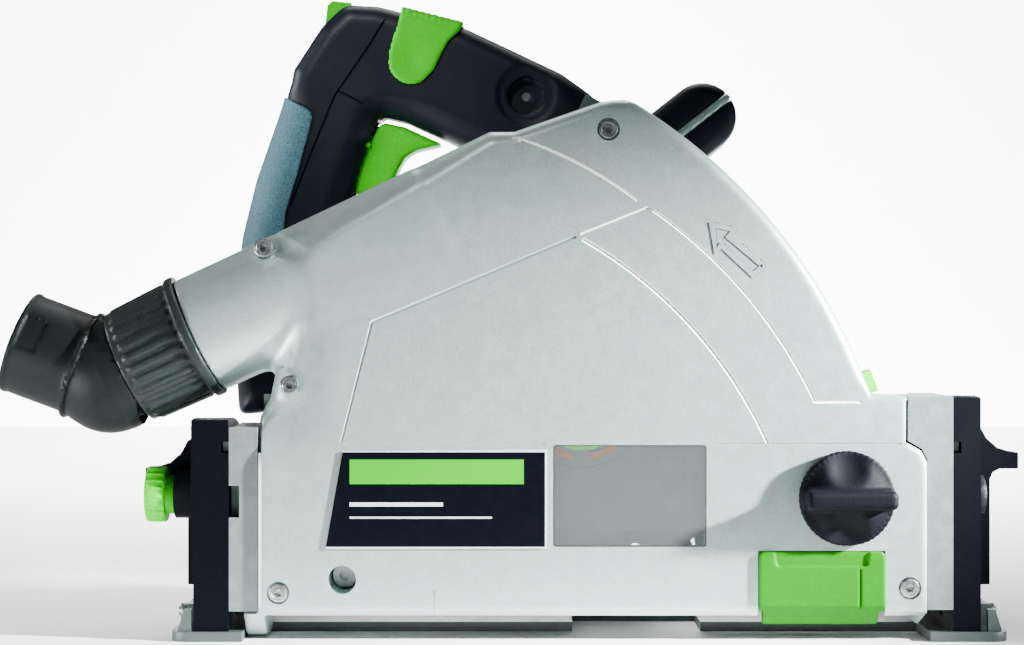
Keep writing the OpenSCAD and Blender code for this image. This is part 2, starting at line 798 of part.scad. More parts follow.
module saw_blade() color([0.62, 0.68, 0.68]) {
    r = blade_d / 2;
    gullet = 7;
    slab(blade_y - blade_t / 2 + 0.2, blade_y + blade_t / 2 - 0.2) translate([bx, bz])
        difference() {
            union() {
                circle(r = r - gullet, $fn = 180);
                for (i = [0 : blade_teeth - 1]) {
                    rotate(i * 360 / blade_teeth)
                        polygon([[r - gullet - 1, -4.2], [r - 1.5, -1], [r - 0.8, 0],
                            [r - 2.4, 0.3], [r - gullet - 1, 0.9]]);
                }
            }
            circle(r = blade_bore / 2);
            for (a = [20 : 90 : 359]) {
                rotate(a) translate([r - 15, 0]) circle(r = 2.6);
            }
        }
    for (i = [0 : blade_teeth - 1]) {
        slab(blade_y - blade_t / 2, blade_y + blade_t / 2) translate([bx, bz])
            rotate(i * 360 / blade_teeth)
                polygon([[r - 4.6, 0.1], [r - 0.2, -0.9], [r, 0.5], [r - 4.6, 1.7]]);
    }
}

module inner_flange() color(steel) {
    difference() {
        union() {
            rod(bx, bz, 20, blade_y + blade_t / 2, wall_y - 9);
            rod(bx, bz, blade_bore / 2 - 0.04, blade_y - 0.8, blade_y + blade_t / 2);
        }
        rod(bx, bz, 6.03, blade_y - 2, wall_y);
    }
}

module outer_flange() color(steel) {
    y = blade_y - blade_t / 2;
    difference() {
        union() {
            rod(bx, bz, 20, y - 2.5, y);
            rod(bx, bz, 14, y - 3.6, y - 2.4);
        }
        rod(bx, bz, 4.06, y - 5, y + 1);
    }
}

module blade_bolt() color([0.25, 0.26, 0.28]) {
    y = blade_y - blade_t / 2 - 3.6;
    difference() {
        union() {
            rod(bx, bz, 7, y - 4, y);
            rod(bx, bz, 4, y, blade_y + 12);
        }
        translate([bx, y - 1, bz]) rotate([90, 0, 0]) cylinder(r = 3.4, h = 6, $fn = 6);
    }
}

module drive_gear() color(steel) {
    slab(case_y + 4, case_back - 10.5) translate([bx, bz]) difference() {
        rotate(gear_a + 90) gear_drawing(gear_z, 0.3);
        circle(r = 7.03);
    }
}

module pinion_shaft() color(steel) {
    rod(mx, mz, 5, case_y + 3.5, 72);
    slab(case_y + 3.5, case_back - 9) translate([mx, mz]) rotate(gear_a - 90 + 180 / pinion_z)
        gear_drawing(pinion_z, 0.3);
}

module armature() color([0.3, 0.3, 0.32]) {
    difference() {
        union() {
            slab(4, 34) translate([mx, mz]) difference() {
                circle(r = 19, $fn = 120);
                for (i = [0 : 11]) {
                    rotate(i * 30) translate([14, -1.3]) square([6, 2.6]);
                }
            }
            rod(mx, mz, 15, 0, 4.1);
            rod(mx, mz, 15, 33.9, 39);
        }
        rod(mx, mz, 5.03, -1, 40);
    }
}

module commutator() color([0.75, 0.45, 0.25]) {
    slab(42, 56) translate([mx, mz]) difference() {
        circle(r = 11);
        circle(r = 5.03);
        for (i = [0 : 23]) {
            rotate(i * 15) translate([10, -0.3]) square([2, 0.6]);
        }
    }
}

module fan() color([0.2, 0.2, 0.22]) {
    blades = 11;
    difference() {
        union() {
            rod(mx, mz, 35, -10, -8.4);
            rod(mx, mz, 9, -19, -8);
            slab(-18, -9.8) translate([mx, mz]) for (i = [0 : blades - 1]) {
                rotate(i * 360 / blades) polygon([[14, -0.8], [34, 3.6], [34, 5.2], [14, 0.8]]);
            }
        }
        rod(mx, mz, 5.03, -20, 0);
    }
}

module stator() color([0.35, 0.32, 0.3]) {
    slab(2, 36) translate([mx, mz]) difference() {
        circle(r = 36.5, $fn = 120);
        circle(r = 20.2, $fn = 120);
        for (a = [45 : 90 : 359]) {
            rotate(a) translate([17, -5]) square([10, 10]);
        }
    }
}

module brush_holders() color([0.72, 0.55, 0.25]) {
    for (s = [-1, 1]) {
        box([mx + (s > 0 ? 11.5 : -36), 45, mz - 4], [mx + (s > 0 ? 36 : -11.5), 53, mz + 4]);
    }
}

module fan_baffle() color(black) {
    slab(-6.5, -4.5) translate([mx, mz]) difference() {
        circle(r = motor_r - 3.1, $fn = 120);
        circle(r = 22);
    }
}

module motor_housing() color(navy) {
    slots = 7;
    difference() {
        rod(mx, mz, motor_r, case_back, 62);
        rod(mx, mz, motor_r - 3, case_back - 1, 63);
        // Exhaust slots over the fan
        for (i = [0 : slots - 1]) {
            translate([mx, -14, mz]) rotate([0, -100 + i * 9, 0]) box([38, -5, -1.3], [48, 5, 1.3]);
        }
    }
}

module motor_end_cap() color(navy) {
    slots = 20;
    difference() {
        union() {
            rod(mx, mz, motor_r, 62.1, 68);
            translate([mx, 68, mz]) rotate([-90, 0, 0]) cylinder(r1 = motor_r, r2 = 36, h = 10);
        }
        rod(mx, mz, 36, 61, 63.5);
        difference() {
            rod(mx, mz, 36, 63, 74);
            rod(mx, mz, 14, 63, 75);
        }
        rod(mx, mz, 11.03, 61, 71.3);
        rod(mx, mz, 5.6, 61, 73);
        for (i = [0 : slots - 1]) {
            translate([mx, 74, mz]) rotate([0, i * 360 / slots, 0]) box([19, -3, -1.2], [32, 6, 1.2]);
        }
    }
}

// ---- Handles -----------------------------------------------------------------

screw_boss = [[-25.6, 229], [-118, 243], [-139, 124], [2, 178]];

// One half of the main handle, from the middle plane out to y1
module handle_shell(y0, y1) {
    inner0 = y0 < hy ? y0 + 3 : y0;
    inner1 = y0 < hy ? y1 : y1 - 3;
    difference() {
        union() {
            difference() {
                slab(y0, y1) difference() {
                    polygon(handle_outline);
                    polygon(handle_hole);
                }
                slab(inner0 - (y0 < hy ? 0 : 1), inner1 + (y0 < hy ? 1 : 0))
                    polygon(handle_hollow);
            }
            for (p = screw_boss) {
                rod(p[0], p[1], p == screw_boss[0] ? 11 : 6, y0, y1);
            }
        }
        rod(mx, mz, motor_r + 0.2, -40, 40);
        // Room for the trigger in the grip's front wall
        box([-109, hy - 9.5, 184], [-86, hy + 9.5, 219]);
        for (p = screw_boss) {
            rod(p[0], p[1], 2.1, y0 < hy ? y0 + 2 : y0 - 1, y1 + 1);
        }
        rod(trigger_x, trigger_z, 1.25, hy - 11.5, hy + 11.5);
    }
}

module handle_left() color(navy) {
    difference() {
        handle_shell(h0, hy);
        // Round recess beside the top of the grip
        rod(screw_boss[0][0], screw_boss[0][1], 8, h0 - 1, h0 + 6);
    }
}

module handle_right() color(navy) {
    difference() {
        handle_shell(hy, h1);
        for (p = screw_boss) {
            rod(p[0], p[1], 4.6, h1 - 7, h1 + 1);
        }
        rod(-97, 246, 3.05, h1 - 3.2, h1 + 1);
    }
}

module handle_screws() color(steel) {
    for (p = screw_boss) {
        difference() {
            union() {
                rod(p[0], p[1], 4, h1 - 7, h1 - 4);
                rod(p[0], p[1], 2, h0 + 7, h1 - 7);
            }
            translate([p[0], h1 - 3, p[1]]) rotate([90, 0, 0]) cylinder(r = 2, h = 2.6, $fn = 6);
        }
    }
}

module soft_grip() color([0.19, 0.30, 0.36]) {
    pad = 1.3;
    difference() {
        slab(h0 - pad, h1 + pad) polygon([[-131.6, 229], [-116, 219.6], [-124, 196.5],
            [-129.7, 178], [-132, 150], [-132, 137], [-152.6, 137], [-150.6, 167], [-144.3, 192.4]]);
        slab(h0 - 0.05, h1 + 0.05) polygon(handle_outline);
    }
}

// Moves children to the top of the main handle, X forward along its slope
module on_top() {
    translate([-69.5, 0, 263.25]) rotate([0, 14.22, 0]) children();
}

module lock_slider() color(green) {
    pad = 1.8;
    difference() {
        on_top() slab(h0 - pad, h1 + pad) {
            polygon([[-11, pad], [17.5, pad], [16.5, -2], [13, -8], [10.5, -20], [-11.5, -20],
                [-10.6, -5]]);
            translate([-0.5, -20]) circle(r = 11);
        }
        on_top() slab(h0 - 0.3, h1 + 0.3) translate([-60, -60]) square([120, 60.3]);
    }
}

module release_lever() color(green) {
    slab(h1 + 2.2, h1 + 6.5) polygon([[-116.3, 263], [-115, 273.4], [-112.8, 275.4],
        [-104.5, 274.6], [-98, 266], [-91, 249], [-93, 241], [-101, 241], [-104, 254]]);
    rod(-97, 246, 3, h1 - 2.8, h1 + 2.3);
}

module trigger() color(green) {
    slab(hy - 9, hy + 9) polygon([[-90, 216.6], [-87.3, 217.9], [-78.6, 216], [-62, 208.4],
        [-67.7, 207.2], [-74.2, 205.6], [-78.6, 202.6], [-80.8, 198.8], [-83, 194], [-89, 187],
        [-101, 186.5], [-99, 205]]);
    rod(trigger_x, trigger_z, 1.2, hy - 11, hy + 11);
}

module switch_body() color(black) {
    box([-127, hy - 9, 178], [-109.6, hy + 9, 212]);
    box([-109.6, hy - 3, 194], [-106.4, hy + 3, 200]);
}

module electronics_module() color([0.12, 0.3, 0.16]) {
    box([-130, hy - 11, 113.5], [-72, hy + 11, 116]);
    for (x = [-126 : 13 : -80]) {
        box([x, hy - 8, 115.9], [x + 9, hy + 8, 127]);
    }
}

module speed_dial() color(green) {
    difference() {
        union() {
            rod(-84, 119, 8, h1 + 0.3, h1 + 3.5);
            for (i = [0 : 15]) {
                rod(-84 + 7.8 * cos(i * 22.5), 119 + 7.8 * sin(i * 22.5), 0.7, h1 + 0.3, h1 + 3);
            }
        }
        box([-84.7, h1 + 2.6, 118], [-83.3, h1 + 4, 128]);
    }
}

module power_inlet() color(black) {
    difference() {
        union() {
            bar(hy, 122, 10.5, -168, -152.7);
            bar(hy, 122, 12, -156.5, -154.2);
        }
        bar(hy, 122, 8, -169, -156);
    }
    for (s = [-1, 1]) {
        bar(hy + s * 3.5, 122, 1.2, -166, -155);
    }
}

// Draws children in the front handle's own axes, X along its slope
module on_front_grip() {
    translate([50.8, 219.6]) rotate(38) children();
}

module front_handle_frame() color(silver) {
    rib = 3.4;
    slab(-31, 61) on_front_grip() translate([-44, -rib / 2]) square([58.2, rib]);
    difference() {
        union() {
            for (y = [-26.5, 44]) {
                slab(y, y + 5) polygon([[14.4, 190], [19, 196.5], [23, 193], [33, 176],
                    [36, 165], [28, 140], [mx, mz], [14.4, 160]]);
            }
            slab(-26.5, 49) on_front_grip() translate([-43.5, -4]) square([6.5, 8]);
        }
        rod(mx, mz, motor_r + 0.2, -60, 70);
    }
}

module front_handle_shells() color(navy) {
    slab(-30, 60) on_front_grip() difference() {
        union() {
            circle(r = front_grip_r);
            translate([-20, 0]) circle(r = front_grip_r);
            translate([-20, -front_grip_r]) square([20, 2 * front_grip_r]);
        }
        translate([-40, -1.75]) square([60, 3.5]);
    }
}

base_plate();
glide_strips();
front_segment();
rear_segment();
segment_screws();
clamp_bolts();
rear_clamp_knob();
front_stop_lever();
rear_stop_lever();
front_rail_cam();
rear_rail_cam();
guard_frame();
blade_cover();
cover_screws();
view_window();
name_plate();
pivot_shaft();
pivot_bushes();
plunge_spring();
depth_scale();
depth_stop();
depth_stop_button();
splinter_guard();
splinter_carrier();
splinter_knob();
dust_collar();
dust_elbow();
gear_housing();
slot_shield();
riving_knife();
spindle_bearings();
spindle();
saw_blade();
inner_flange();
outer_flange();
blade_bolt();
drive_gear();
pinion_shaft();
armature();
commutator();
fan();
rotor_bearings();
stator();
brush_holders();
fan_baffle();
motor_housing();
motor_end_cap();
handle_left();
handle_right();
handle_screws();
soft_grip();
lock_slider();
release_lever();
trigger();
switch_body();
electronics_module();
speed_dial();
power_inlet();
front_handle_frame();
front_handle_shells();
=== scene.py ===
"""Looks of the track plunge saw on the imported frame. Shapes are in millimetres, in the frame's axes."""
import math
import bpy
import bmesh
import numpy as np
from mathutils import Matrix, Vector


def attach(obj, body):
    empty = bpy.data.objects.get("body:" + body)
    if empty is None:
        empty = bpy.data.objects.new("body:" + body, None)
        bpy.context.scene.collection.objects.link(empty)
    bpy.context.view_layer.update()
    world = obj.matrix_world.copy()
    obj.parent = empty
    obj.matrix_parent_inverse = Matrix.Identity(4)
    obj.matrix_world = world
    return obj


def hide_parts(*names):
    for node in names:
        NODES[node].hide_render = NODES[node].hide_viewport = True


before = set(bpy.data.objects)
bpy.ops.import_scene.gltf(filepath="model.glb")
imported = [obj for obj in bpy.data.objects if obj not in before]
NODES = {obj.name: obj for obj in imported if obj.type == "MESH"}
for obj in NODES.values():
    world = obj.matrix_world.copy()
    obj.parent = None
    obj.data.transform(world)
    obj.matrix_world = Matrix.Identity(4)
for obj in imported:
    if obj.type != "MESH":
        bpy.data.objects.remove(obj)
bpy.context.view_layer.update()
MM = 0.001

# Planes along Y: the cover's face, the blade, and the wall behind the cover
FACE, BLADE, WALL = -80.0, -67.0, -51.0
# Axes in X and Z: plunge pivot, blade, motor, trigger pin and splinter-guard knob
PIVOT = (-101.2, 25.3)
SPIN = (-3.08, 97.64)
MOTOR = (-11.15, 125.23)
TRIGGER_PIN = (-94.6, 208)
KNOB = (104.4, 58.8)
# The motor housing's radius with its clearance
MOTOR_CLEAR = 42.3
# Main handle: middle along Y and half width
HANDLE_Y, HANDLE_HALF = -10.0, 17.0
# Front handle: middle along Y, centre and slope of its grip
FRONT_Y = 15
FRONT_GRIP = (50.8, 219.6)
FRONT_A = math.radians(38)
# Dust chute: its mouth, its slope, its bore, and the elbow's distance and turn
CHUTE = np.array((-162.7, -54.3, 125.6))
CHUTE_A = math.radians(25.2)
CHUTE_BORE, CHUTE_WALL = 22.7, 3.0
BEND = 41.5
ELBOW_A = math.radians(45.7)
CHUTE_D = (-math.cos(CHUTE_A), 0.0, -math.sin(CHUTE_A))
PORT_O = CHUTE + BEND * np.array(CHUTE_D)
PORT_D = (-math.cos(CHUTE_A - ELBOW_A), 0.0, -math.sin(CHUTE_A - ELBOW_A))
# Cover screws in X and Z
SCREWS = ((-133.4, 161), (-122.8, 104.9), (7.6, 209.3), (-127.3, 20), (130.6, 21.9))


# ---- Fields: distance-like functions of x, y and z, negative inside ----

def smin(a, b, k):
    """Union of two fields, blended over about k."""
    h = np.clip(0.5 + 0.5 * (b - a) / k, 0, 1)
    return b + (a - b) * h - k * h * (1 - h)


def smax(a, b, k):
    """Intersection of two fields, blended over about k."""
    return -smin(-a, -b, k)


def hyp(*v):
    """Length of a vector."""
    return np.sqrt(sum(np.square(c) for c in v))


def ramp(t):
    """Smooth step from 0 to 1."""
    t = np.clip(t, 0, 1)
    return t * t * (3 - 2 * t)


def arc(cx, cz, r, a0, a1, n):
    """Points on an arc, angles in degrees."""
    return [(cx + r * math.cos(a), cz + r * math.sin(a))
            for a in np.radians(np.linspace(a0, a1, n))]


def fillet(pts, radius, steps=6):
    """A closed outline with its corners rounded; radius is one number or one per corner."""
    out = []
    n = len(pts)
    for i, p in enumerate(pts):
        r = radius[i] if hasattr(radius, "__len__") else radius
        p = np.array(p, float)
        a = np.array(pts[i - 1], float) - p
        b = np.array(pts[(i + 1) % n], float) - p
        la, lb = np.linalg.norm(a), np.linalg.norm(b)
        a, b = a / la, b / lb
        turn = math.acos(max(-1, min(1, float(a @ b))))
        if r <= 0 or math.pi - turn < 0.03:
            out.append(tuple(p))
            continue
        t = min(r / math.tan(turn / 2), 0.48 * la, 0.48 * lb)
        for s in np.linspace(0, 1, steps):
            out.append(tuple(p + a * t * (1 - s) ** 2 + b * t * s ** 2))
    return out


def poly(pts):
    """Signed distance of a closed outline in X and Z."""
    pts = np.array(pts, float)

    def field(x, z):
        d = np.full(np.broadcast(x, z).shape, 1e9)
        inside = np.zeros(d.shape, bool)
        for i in range(len(pts)):
            (ax, az), (bx, bz) = pts[i - 1], pts[i]
            ex, ez = bx - ax, bz - az
            t = np.clip(((x - ax) * ex + (z - az) * ez) / max(ex * ex + ez * ez, 1e-12), 0, 1)
            d = np.minimum(d, (x - ax - t * ex) ** 2 + (z - az - t * ez) ** 2)
            if az != bz:
                cross = ((az > z) != (bz > z)) & (x < ax + (z - az) * ex / ez)
                inside = inside ^ cross
        return np.where(inside, -np.sqrt(d), np.sqrt(d))
    return field


def puff(d2, dy, e):
    """Two distances joined at a rounded edge of radius e."""
    u, v = d2 + e, dy + e
    return np.minimum(np.maximum(u, v), 0) + hyp(np.maximum(u, 0), np.maximum(v, 0)) - e


def slab(d2, y, y0, y1, e):
    """An outline raised from y0 to y1, with its edges rounded by e."""
    return puff(d2, abs(y - (y0 + y1) / 2) - (y1 - y0) / 2, e)


def boxed(x, y, z, lo, hi, e):
    """A box with its edges rounded by e."""
    q = [abs(v - (a + b) / 2) - (b - a) / 2 + e for v, a, b in zip((x, y, z), lo, hi)]
    return (np.minimum(np.maximum(np.maximum(q[0], q[1]), q[2]), 0)
            + hyp(*[np.maximum(v, 0) for v in q]) - e)


def along(x, y, z, origin, direction):
    """Distance along an axis, and distance from it."""
    dx, dy, dz = x - origin[0], y - origin[1], z - origin[2]
    t = dx * direction[0] + dy * direction[1] + dz * direction[2]
    return t, np.sqrt(np.maximum(dx * dx + dy * dy + dz * dz - t * t, 1e-9))


# ---- From a field to a mesh ----

COARSE = 1.0


def surface(f, lo, hi, h):
    """Closed quad surface of f = 0 by surface nets, with every point moved onto the surface."""
    h = h * COARSE
    lo = np.array(lo, float)
    n = [int(math.ceil((b - a) / h)) + 1 for a, b in zip(lo, hi)]
    axes = [a + h * np.arange(k) for a, k in zip(lo, n)]
    x, y, z = (axes[0][:, None, None], axes[1][None, :, None], axes[2][None, None, :])
    d = np.ascontiguousarray(np.broadcast_to(f(x, y, z), n)).astype(np.float32)
    d[np.abs(d) < 1e-5] = 1e-5
    inside = d < 0
    count = np.zeros([k - 1 for k in n], np.int8)
    for o in np.ndindex(2, 2, 2):
        count += inside[o[0]:n[0] - 1 + o[0], o[1]:n[1] - 1 + o[1], o[2]:n[2] - 1 + o[2]]
    cell = (count > 0) & (count < 8)
    index = np.full(cell.shape, -1, np.int64)
    index[cell] = np.arange(int(cell.sum()))
    ci = np.argwhere(cell)
    total = np.zeros((len(ci), 3))
    hits = np.zeros(len(ci))
    for axis in range(3):
        for o in np.ndindex(2, 2):
            off = np.insert(np.array(o), axis, 0)
            a, b = ci + off, ci + off
            b[:, axis] += 1
            da, db = d[tuple(a.T)], d[tuple(b.T)]
            cross = (da < 0) != (db < 0)
            at = np.repeat(off[None].astype(float), len(ci), 0)
            at[:, axis] += np.where(cross, da / np.where(cross, da - db, 1), 0)
            total[cross] += at[cross]
            hits[cross] += 1
    v = lo + h * (ci + total / hits[:, None])
    faces = []
    for axis in range(3):
        u, w = (axis + 1) % 3, (axis + 2) % 3
        s0, s1 = [slice(None)] * 3, [slice(None)] * 3
        s0[axis], s1[axis] = slice(0, -1), slice(1, None)
        p = np.argwhere(inside[tuple(s0)] != inside[tuple(s1)])
        p = p[(p[:, u] > 0) & (p[:, u] < n[u] - 1) & (p[:, w] > 0) & (p[:, w] < n[w] - 1)]
        quad = []
        for du, dw in ((-1, -1), (0, -1), (0, 0), (-1, 0)):
            c = p.copy()
            c[:, u] += du
            c[:, w] += dw
            quad.append(index[tuple(c.T)])
        quad = np.stack(quad, 1)
        out = inside[tuple(p.T)]
        quad[~out] = quad[~out][:, ::-1]
        faces.append(quad)
    faces = np.concatenate(faces)
    start = v.copy()
    e = 0.05
    for _ in range(5):
        c = [v[:, i] for i in range(3)]
        g = np.stack([(f(*[c[j] + (e if j == i else 0) for j in range(3)])
                       - f(*[c[j] - (e if j == i else 0) for j in range(3)])) / (2 * e)
                      for i in range(3)], 1)
        g2 = np.maximum((g * g).sum(1), 0.2)
        v = v - np.clip(f(*c) / g2, -0.4 * h, 0.4 * h)[:, None] * g
    v = start + np.clip(v - start, -0.75 * h, 0.75 * h)
    return v, faces


SHARP = math.radians(38)


def object_of(name, verts, faces, material, body, nodes=()):
    """A mesh object in the row frame from points in millimetres, riding on a body."""
    me = bpy.data.meshes.new(name)
    me.from_pydata(np.asarray(verts, float) * MM, [], np.asarray(faces).tolist()
                   if isinstance(faces, np.ndarray) else faces)
    me.update()
    ob = bpy.data.objects.new(name, me)
    bpy.context.scene.collection.objects.link(ob)
    finish_piece(ob, material, body, nodes)
    return ob


def model(name, field, lo, hi, step, material, slot, body, *nodes):
    """A piece made from a field inside the box lo to hi, standing for the CAD nodes."""
    v, f = surface(field, lo, hi, step)
    return object_of(name, v, f, material, body, nodes)


def finish_piece(ob, material, body, nodes=()):
    """Materials, smooth shading with sharp corners, and the piece's place in the frame."""
    me = ob.data
    me.materials.clear()
    for m in material if isinstance(material, (list, tuple)) else [material]:
        me.materials.append(m)
    for p in me.polygons:
        p.use_smooth = True
    me.set_sharp_from_angle(angle=SHARP)
    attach(ob, body)
    if nodes:
        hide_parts(*nodes)


# ---- Plain solids for cutting and joining ----

def raw(name, verts, faces, mat=0):
    """A closed cutter with its faces turned outwards; mat is the material slot of the faces it cuts."""
    me = bpy.data.meshes.new(name)
    me.from_pydata([tuple(c * MM for c in v) for v in verts], [], faces)
    bm = bmesh.new()
    bm.from_mesh(me)
    bmesh.ops.remove_doubles(bm, verts=bm.verts, dist=1e-7)
    bmesh.ops.recalc_face_normals(bm, faces=bm.faces)
    for f in bm.faces:
        f.material_index = mat
    bm.to_mesh(me)
    bm.free()
    ob = bpy.data.objects.new(name, me)
    bpy.context.scene.collection.objects.link(ob)
    return ob


def prism(pts, y0, y1):
    """An outline in X and Z, raised from y0 to y1."""
    n = len(pts)
    v = [(x, y, z) for y in (y0, y1) for x, z in pts]
    f = [list(range(n)), list(range(2 * n - 1, n - 1, -1))]
    f += [(i, (i + 1) % n, n + (i + 1) % n, n + i) for i in range(n)]
    return raw("prism", v, f)


def drum(x, z, r, y0, y1):
    """A round cutter along Y."""
    sides = 48
    return prism(arc(x, z, r, 0, 360 - 360 / sides, sides), y0, y1)


def rounded_rect(x0, z0, x1, z1, r):
    return fillet([(x0, z0), (x1, z0), (x1, z1), (x0, z1)], r, 7)


def groove(path, width, depth, top):
    """V-shaped cutter along a path on the outer face."""
    p = np.array(path, float)
    seg = np.diff(p, axis=0)
    seg /= np.linalg.norm(seg, axis=1)[:, None]
    nrm = np.stack([-seg[:, 1], seg[:, 0]], 1)
    side = np.vstack([nrm[:1], (nrm[:-1] + nrm[1:]) / 2, nrm[-1:]])
    side /= np.maximum((side ** 2).sum(1), 0.3)[:, None]
    v, f = [], []
    lift = 0.3
    wide = width / 2 * (depth + lift) / depth
    for q, s in zip(p, side):
        v += [(q[0] - s[0] * wide, top - lift, q[1] - s[1] * wide),
              (q[0] + s[0] * wide, top - lift, q[1] + s[1] * wide), (q[0], top + depth, q[1])]
    for i in range(len(p) - 1):
        a, b = 3 * i, 3 * i + 3
        f += [(a, a + 1, b + 1, b), (a + 1, a + 2, b + 2, b + 1), (a + 2, a, b, b + 2)]
    last = 3 * (len(p) - 1)
    f += [(0, 2, 1), (last, last + 1, last + 2)]
    return raw("groove", v, f, mat=1)


def carve(ob, tools):
    """Cuts the tools out of ob and removes them. The exact solver stands in where the fast one can't."""
    for t in tools:
        before = len(ob.data.polygons)
        keep = ob.data.copy()
        done = False
        for solver in ("MANIFOLD", "EXACT"):
            m = ob.modifiers.new("cut", "BOOLEAN")
            m.operation = "DIFFERENCE"
            m.object = t
            m.solver = solver
            dg = bpy.context.evaluated_depsgraph_get()
            me = bpy.data.meshes.new_from_object(ob.evaluated_get(dg))
            ob.modifiers.remove(m)
            if len(me.polygons) > 0.5 * before and me.polygons:
                done = len(me.vertices) != len(ob.data.vertices)
                ob.data = me
                if done:
                    break
        if not done:
            print("cut had no effect:", t.name)
            ob.data = keep
        bpy.data.objects.remove(t)


# ---- Materials ----

class Shader:
    """A principled material with object coordinates and shorthand for its nodes."""

    def __init__(self, name):
        self.m = bpy.data.materials.new(name)
        self.m.use_nodes = True
        self.t = self.m.node_tree
        self.b = self.t.nodes["Principled BSDF"]
        self.at = self.t.nodes.new("ShaderNodeTexCoord").outputs["Object"]

    def put(self, socket, value):
        """A value or a node's output into the material's own socket."""
        s = self.b.inputs[socket]
        if hasattr(value, "node"):
            self.t.links.new(value, s)
        else:
            s.default_value = value

    def set(self, node, key, value):
        if hasattr(value, "node"):
            self.t.links.new(value, node.inputs[key])
        else:
            node.inputs[key].default_value = value

    def noise(self, scale, detail=2.0, rough=0.5, at=None):
        n = self.t.nodes.new("ShaderNodeTexNoise")
        self.t.links.new(at or self.at, n.inputs["Vector"])
        n.inputs["Scale"].default_value = scale
        n.inputs["Detail"].default_value = detail
        n.inputs["Roughness"].default_value = rough
        return n.outputs["Fac"]

    def voronoi(self, scale):
        n = self.t.nodes.new("ShaderNodeTexVoronoi")
        self.t.links.new(self.at, n.inputs["Vector"])
        n.inputs["Scale"].default_value = scale
        return n.outputs["Distance"]

    def math(self, op, a, b=0.0):
        n = self.t.nodes.new("ShaderNodeMath")
        n.operation = op
        for i, v in enumerate((a, b)):
            self.set(n, i, v)
        return n.outputs[0]

    def span(self, value, a, b, c=0.0, d=1.0):
        """Maps a to b onto c to d, and holds the ends."""
        n = self.t.nodes.new("ShaderNodeMapRange")
        self.set(n, "Value", value)
        for k, v in zip(("From Min", "From Max", "To Min", "To Max"), (a, b, c, d)):
            n.inputs[k].default_value = v
        return n.outputs[0]

    def mix(self, fac, a, b):
        n = self.t.nodes.new("ShaderNodeMix")
        n.data_type = "RGBA"
        self.set(n, 0, fac)
        for k, v in ((6, a), (7, b)):
            self.set(n, k, v if hasattr(v, "node") else (*v, 1.0))
        return n.outputs[2]

    def bump(self, *layers):
        """Layers of (height, strength, distance in metres)."""
        last = None
        for height, strength, dist in layers:
            n = self.t.nodes.new("ShaderNodeBump")
            n.inputs["Strength"].default_value = strength
            n.inputs["Distance"].default_value = dist
            self.t.links.new(height, n.inputs["Height"])
            if last:
                self.t.links.new(last, n.inputs["Normal"])
            last = n.outputs[0]
        self.t.links.new(last, self.b.inputs["Normal"])

    def xyz(self):
        n = self.t.nodes.new("ShaderNodeSeparateXYZ")
        self.t.links.new(self.at, n.inputs[0])
        return n.outputs

    def scaled(self, x, y, z):
        n = self.t.nodes.new("ShaderNodeMapping")
        self.t.links.new(self.at, n.inputs["Vector"])
        n.inputs["Scale"].default_value = (x, y, z)
        return n.outputs[0]

    def edges(self):
        """1 on outer edges, 0 elsewhere."""
        g = self.t.nodes.new("ShaderNodeNewGeometry")
        return self.span(g.outputs["Pointiness"], 0.51, 0.56)


def tint(c, k):
    """A colour made k times as bright."""
    return tuple(min(1.0, v * k) for v in c)


def paint(name, colour, metal=0.6, rough=0.38):
    """Satin metallic paint: fine flakes, faint clouds, worn lighter edges."""
    s = Shader(name)
    flake = s.voronoi(1500)
    fine = s.noise(2200, 2, 0.7)
    cloud = s.noise(9, 2)
    c = s.mix(s.span(fine, 0.3, 0.7), tint(colour, 0.78), tint(colour, 1.2))
    c = s.mix(s.span(cloud, 0.3, 0.7, 0, 0.15), c, tint(colour, 0.9))
    c = s.mix(s.math("MULTIPLY", s.edges(), s.span(s.noise(160, 4), 0.45, 0.7, 0, 0.5)),
              c, tint(colour, 1.5))
    s.put("Base Color", c)
    s.put("Metallic", metal)
    s.put("Roughness", s.span(s.noise(220, 3), 0.2, 0.8, rough - 0.06, rough + 0.08))
    s.bump((flake, 0.10, 0.0002), (s.noise(450, 2), 0.05, 0.0004))
    return s.m


def plastic(name, colour, rough=0.42, grain=1800, depth=0.22, lift=1.35, shine=0.3):
    """Moulded plastic with a spark-eroded grain, faint scuffs and polished high spots."""
    s = Shader(name)
    g = s.noise(grain, 2, 0.6)
    cloud = s.noise(30, 4)
    scuff = s.noise(500, 5, 0.65, s.scaled(1, 1, 0.12))
    c = s.mix(s.span(g, 0.3, 0.7), tint(colour, 0.82), tint(colour, lift))
    c = s.mix(s.span(cloud, 0.35, 0.7, 0, 0.3), c, tint(colour, 0.75))
    c = s.mix(s.span(scuff, 0.66, 0.74, 0, 0.25), c, tint(colour, 1.9))
    s.put("Base Color", c)
    s.put("Specular IOR Level", shine)
    r = s.span(cloud, 0.3, 0.7, rough - 0.05, rough + 0.07)
    s.put("Roughness", s.math("SUBTRACT", r, s.math("MULTIPLY", s.edges(), 0.08)))
    s.bump((g, depth, 0.0003), (cloud, 0.05, 0.001))
    return s.m


def metal(name, colour, rough=0.3):
    """Bare metal with fine marks and faint stains."""
    s = Shader(name)
    marks = s.noise(400, 4, 0.6)
    stain = s.noise(40, 4)
    c = s.mix(s.span(marks, 0.3, 0.7), tint(colour, 0.8), tint(colour, 1.12))
    c = s.mix(s.span(stain, 0.45, 0.75, 0, 0.4), c, tint(colour, 0.7))
    s.put("Base Color", c)
    s.put("Metallic", 1.0)
    s.put("Roughness", s.span(marks, 0.2, 0.8, rough - 0.08, rough + 0.12))
    s.bump((marks, 0.15, 0.0002))
    return s.m


SILVER = (0.40, 0.53, 0.505)
GREEN = (0.035, 0.62, 0.002)
NAVY = (0.0016, 0.0036, 0.0105)

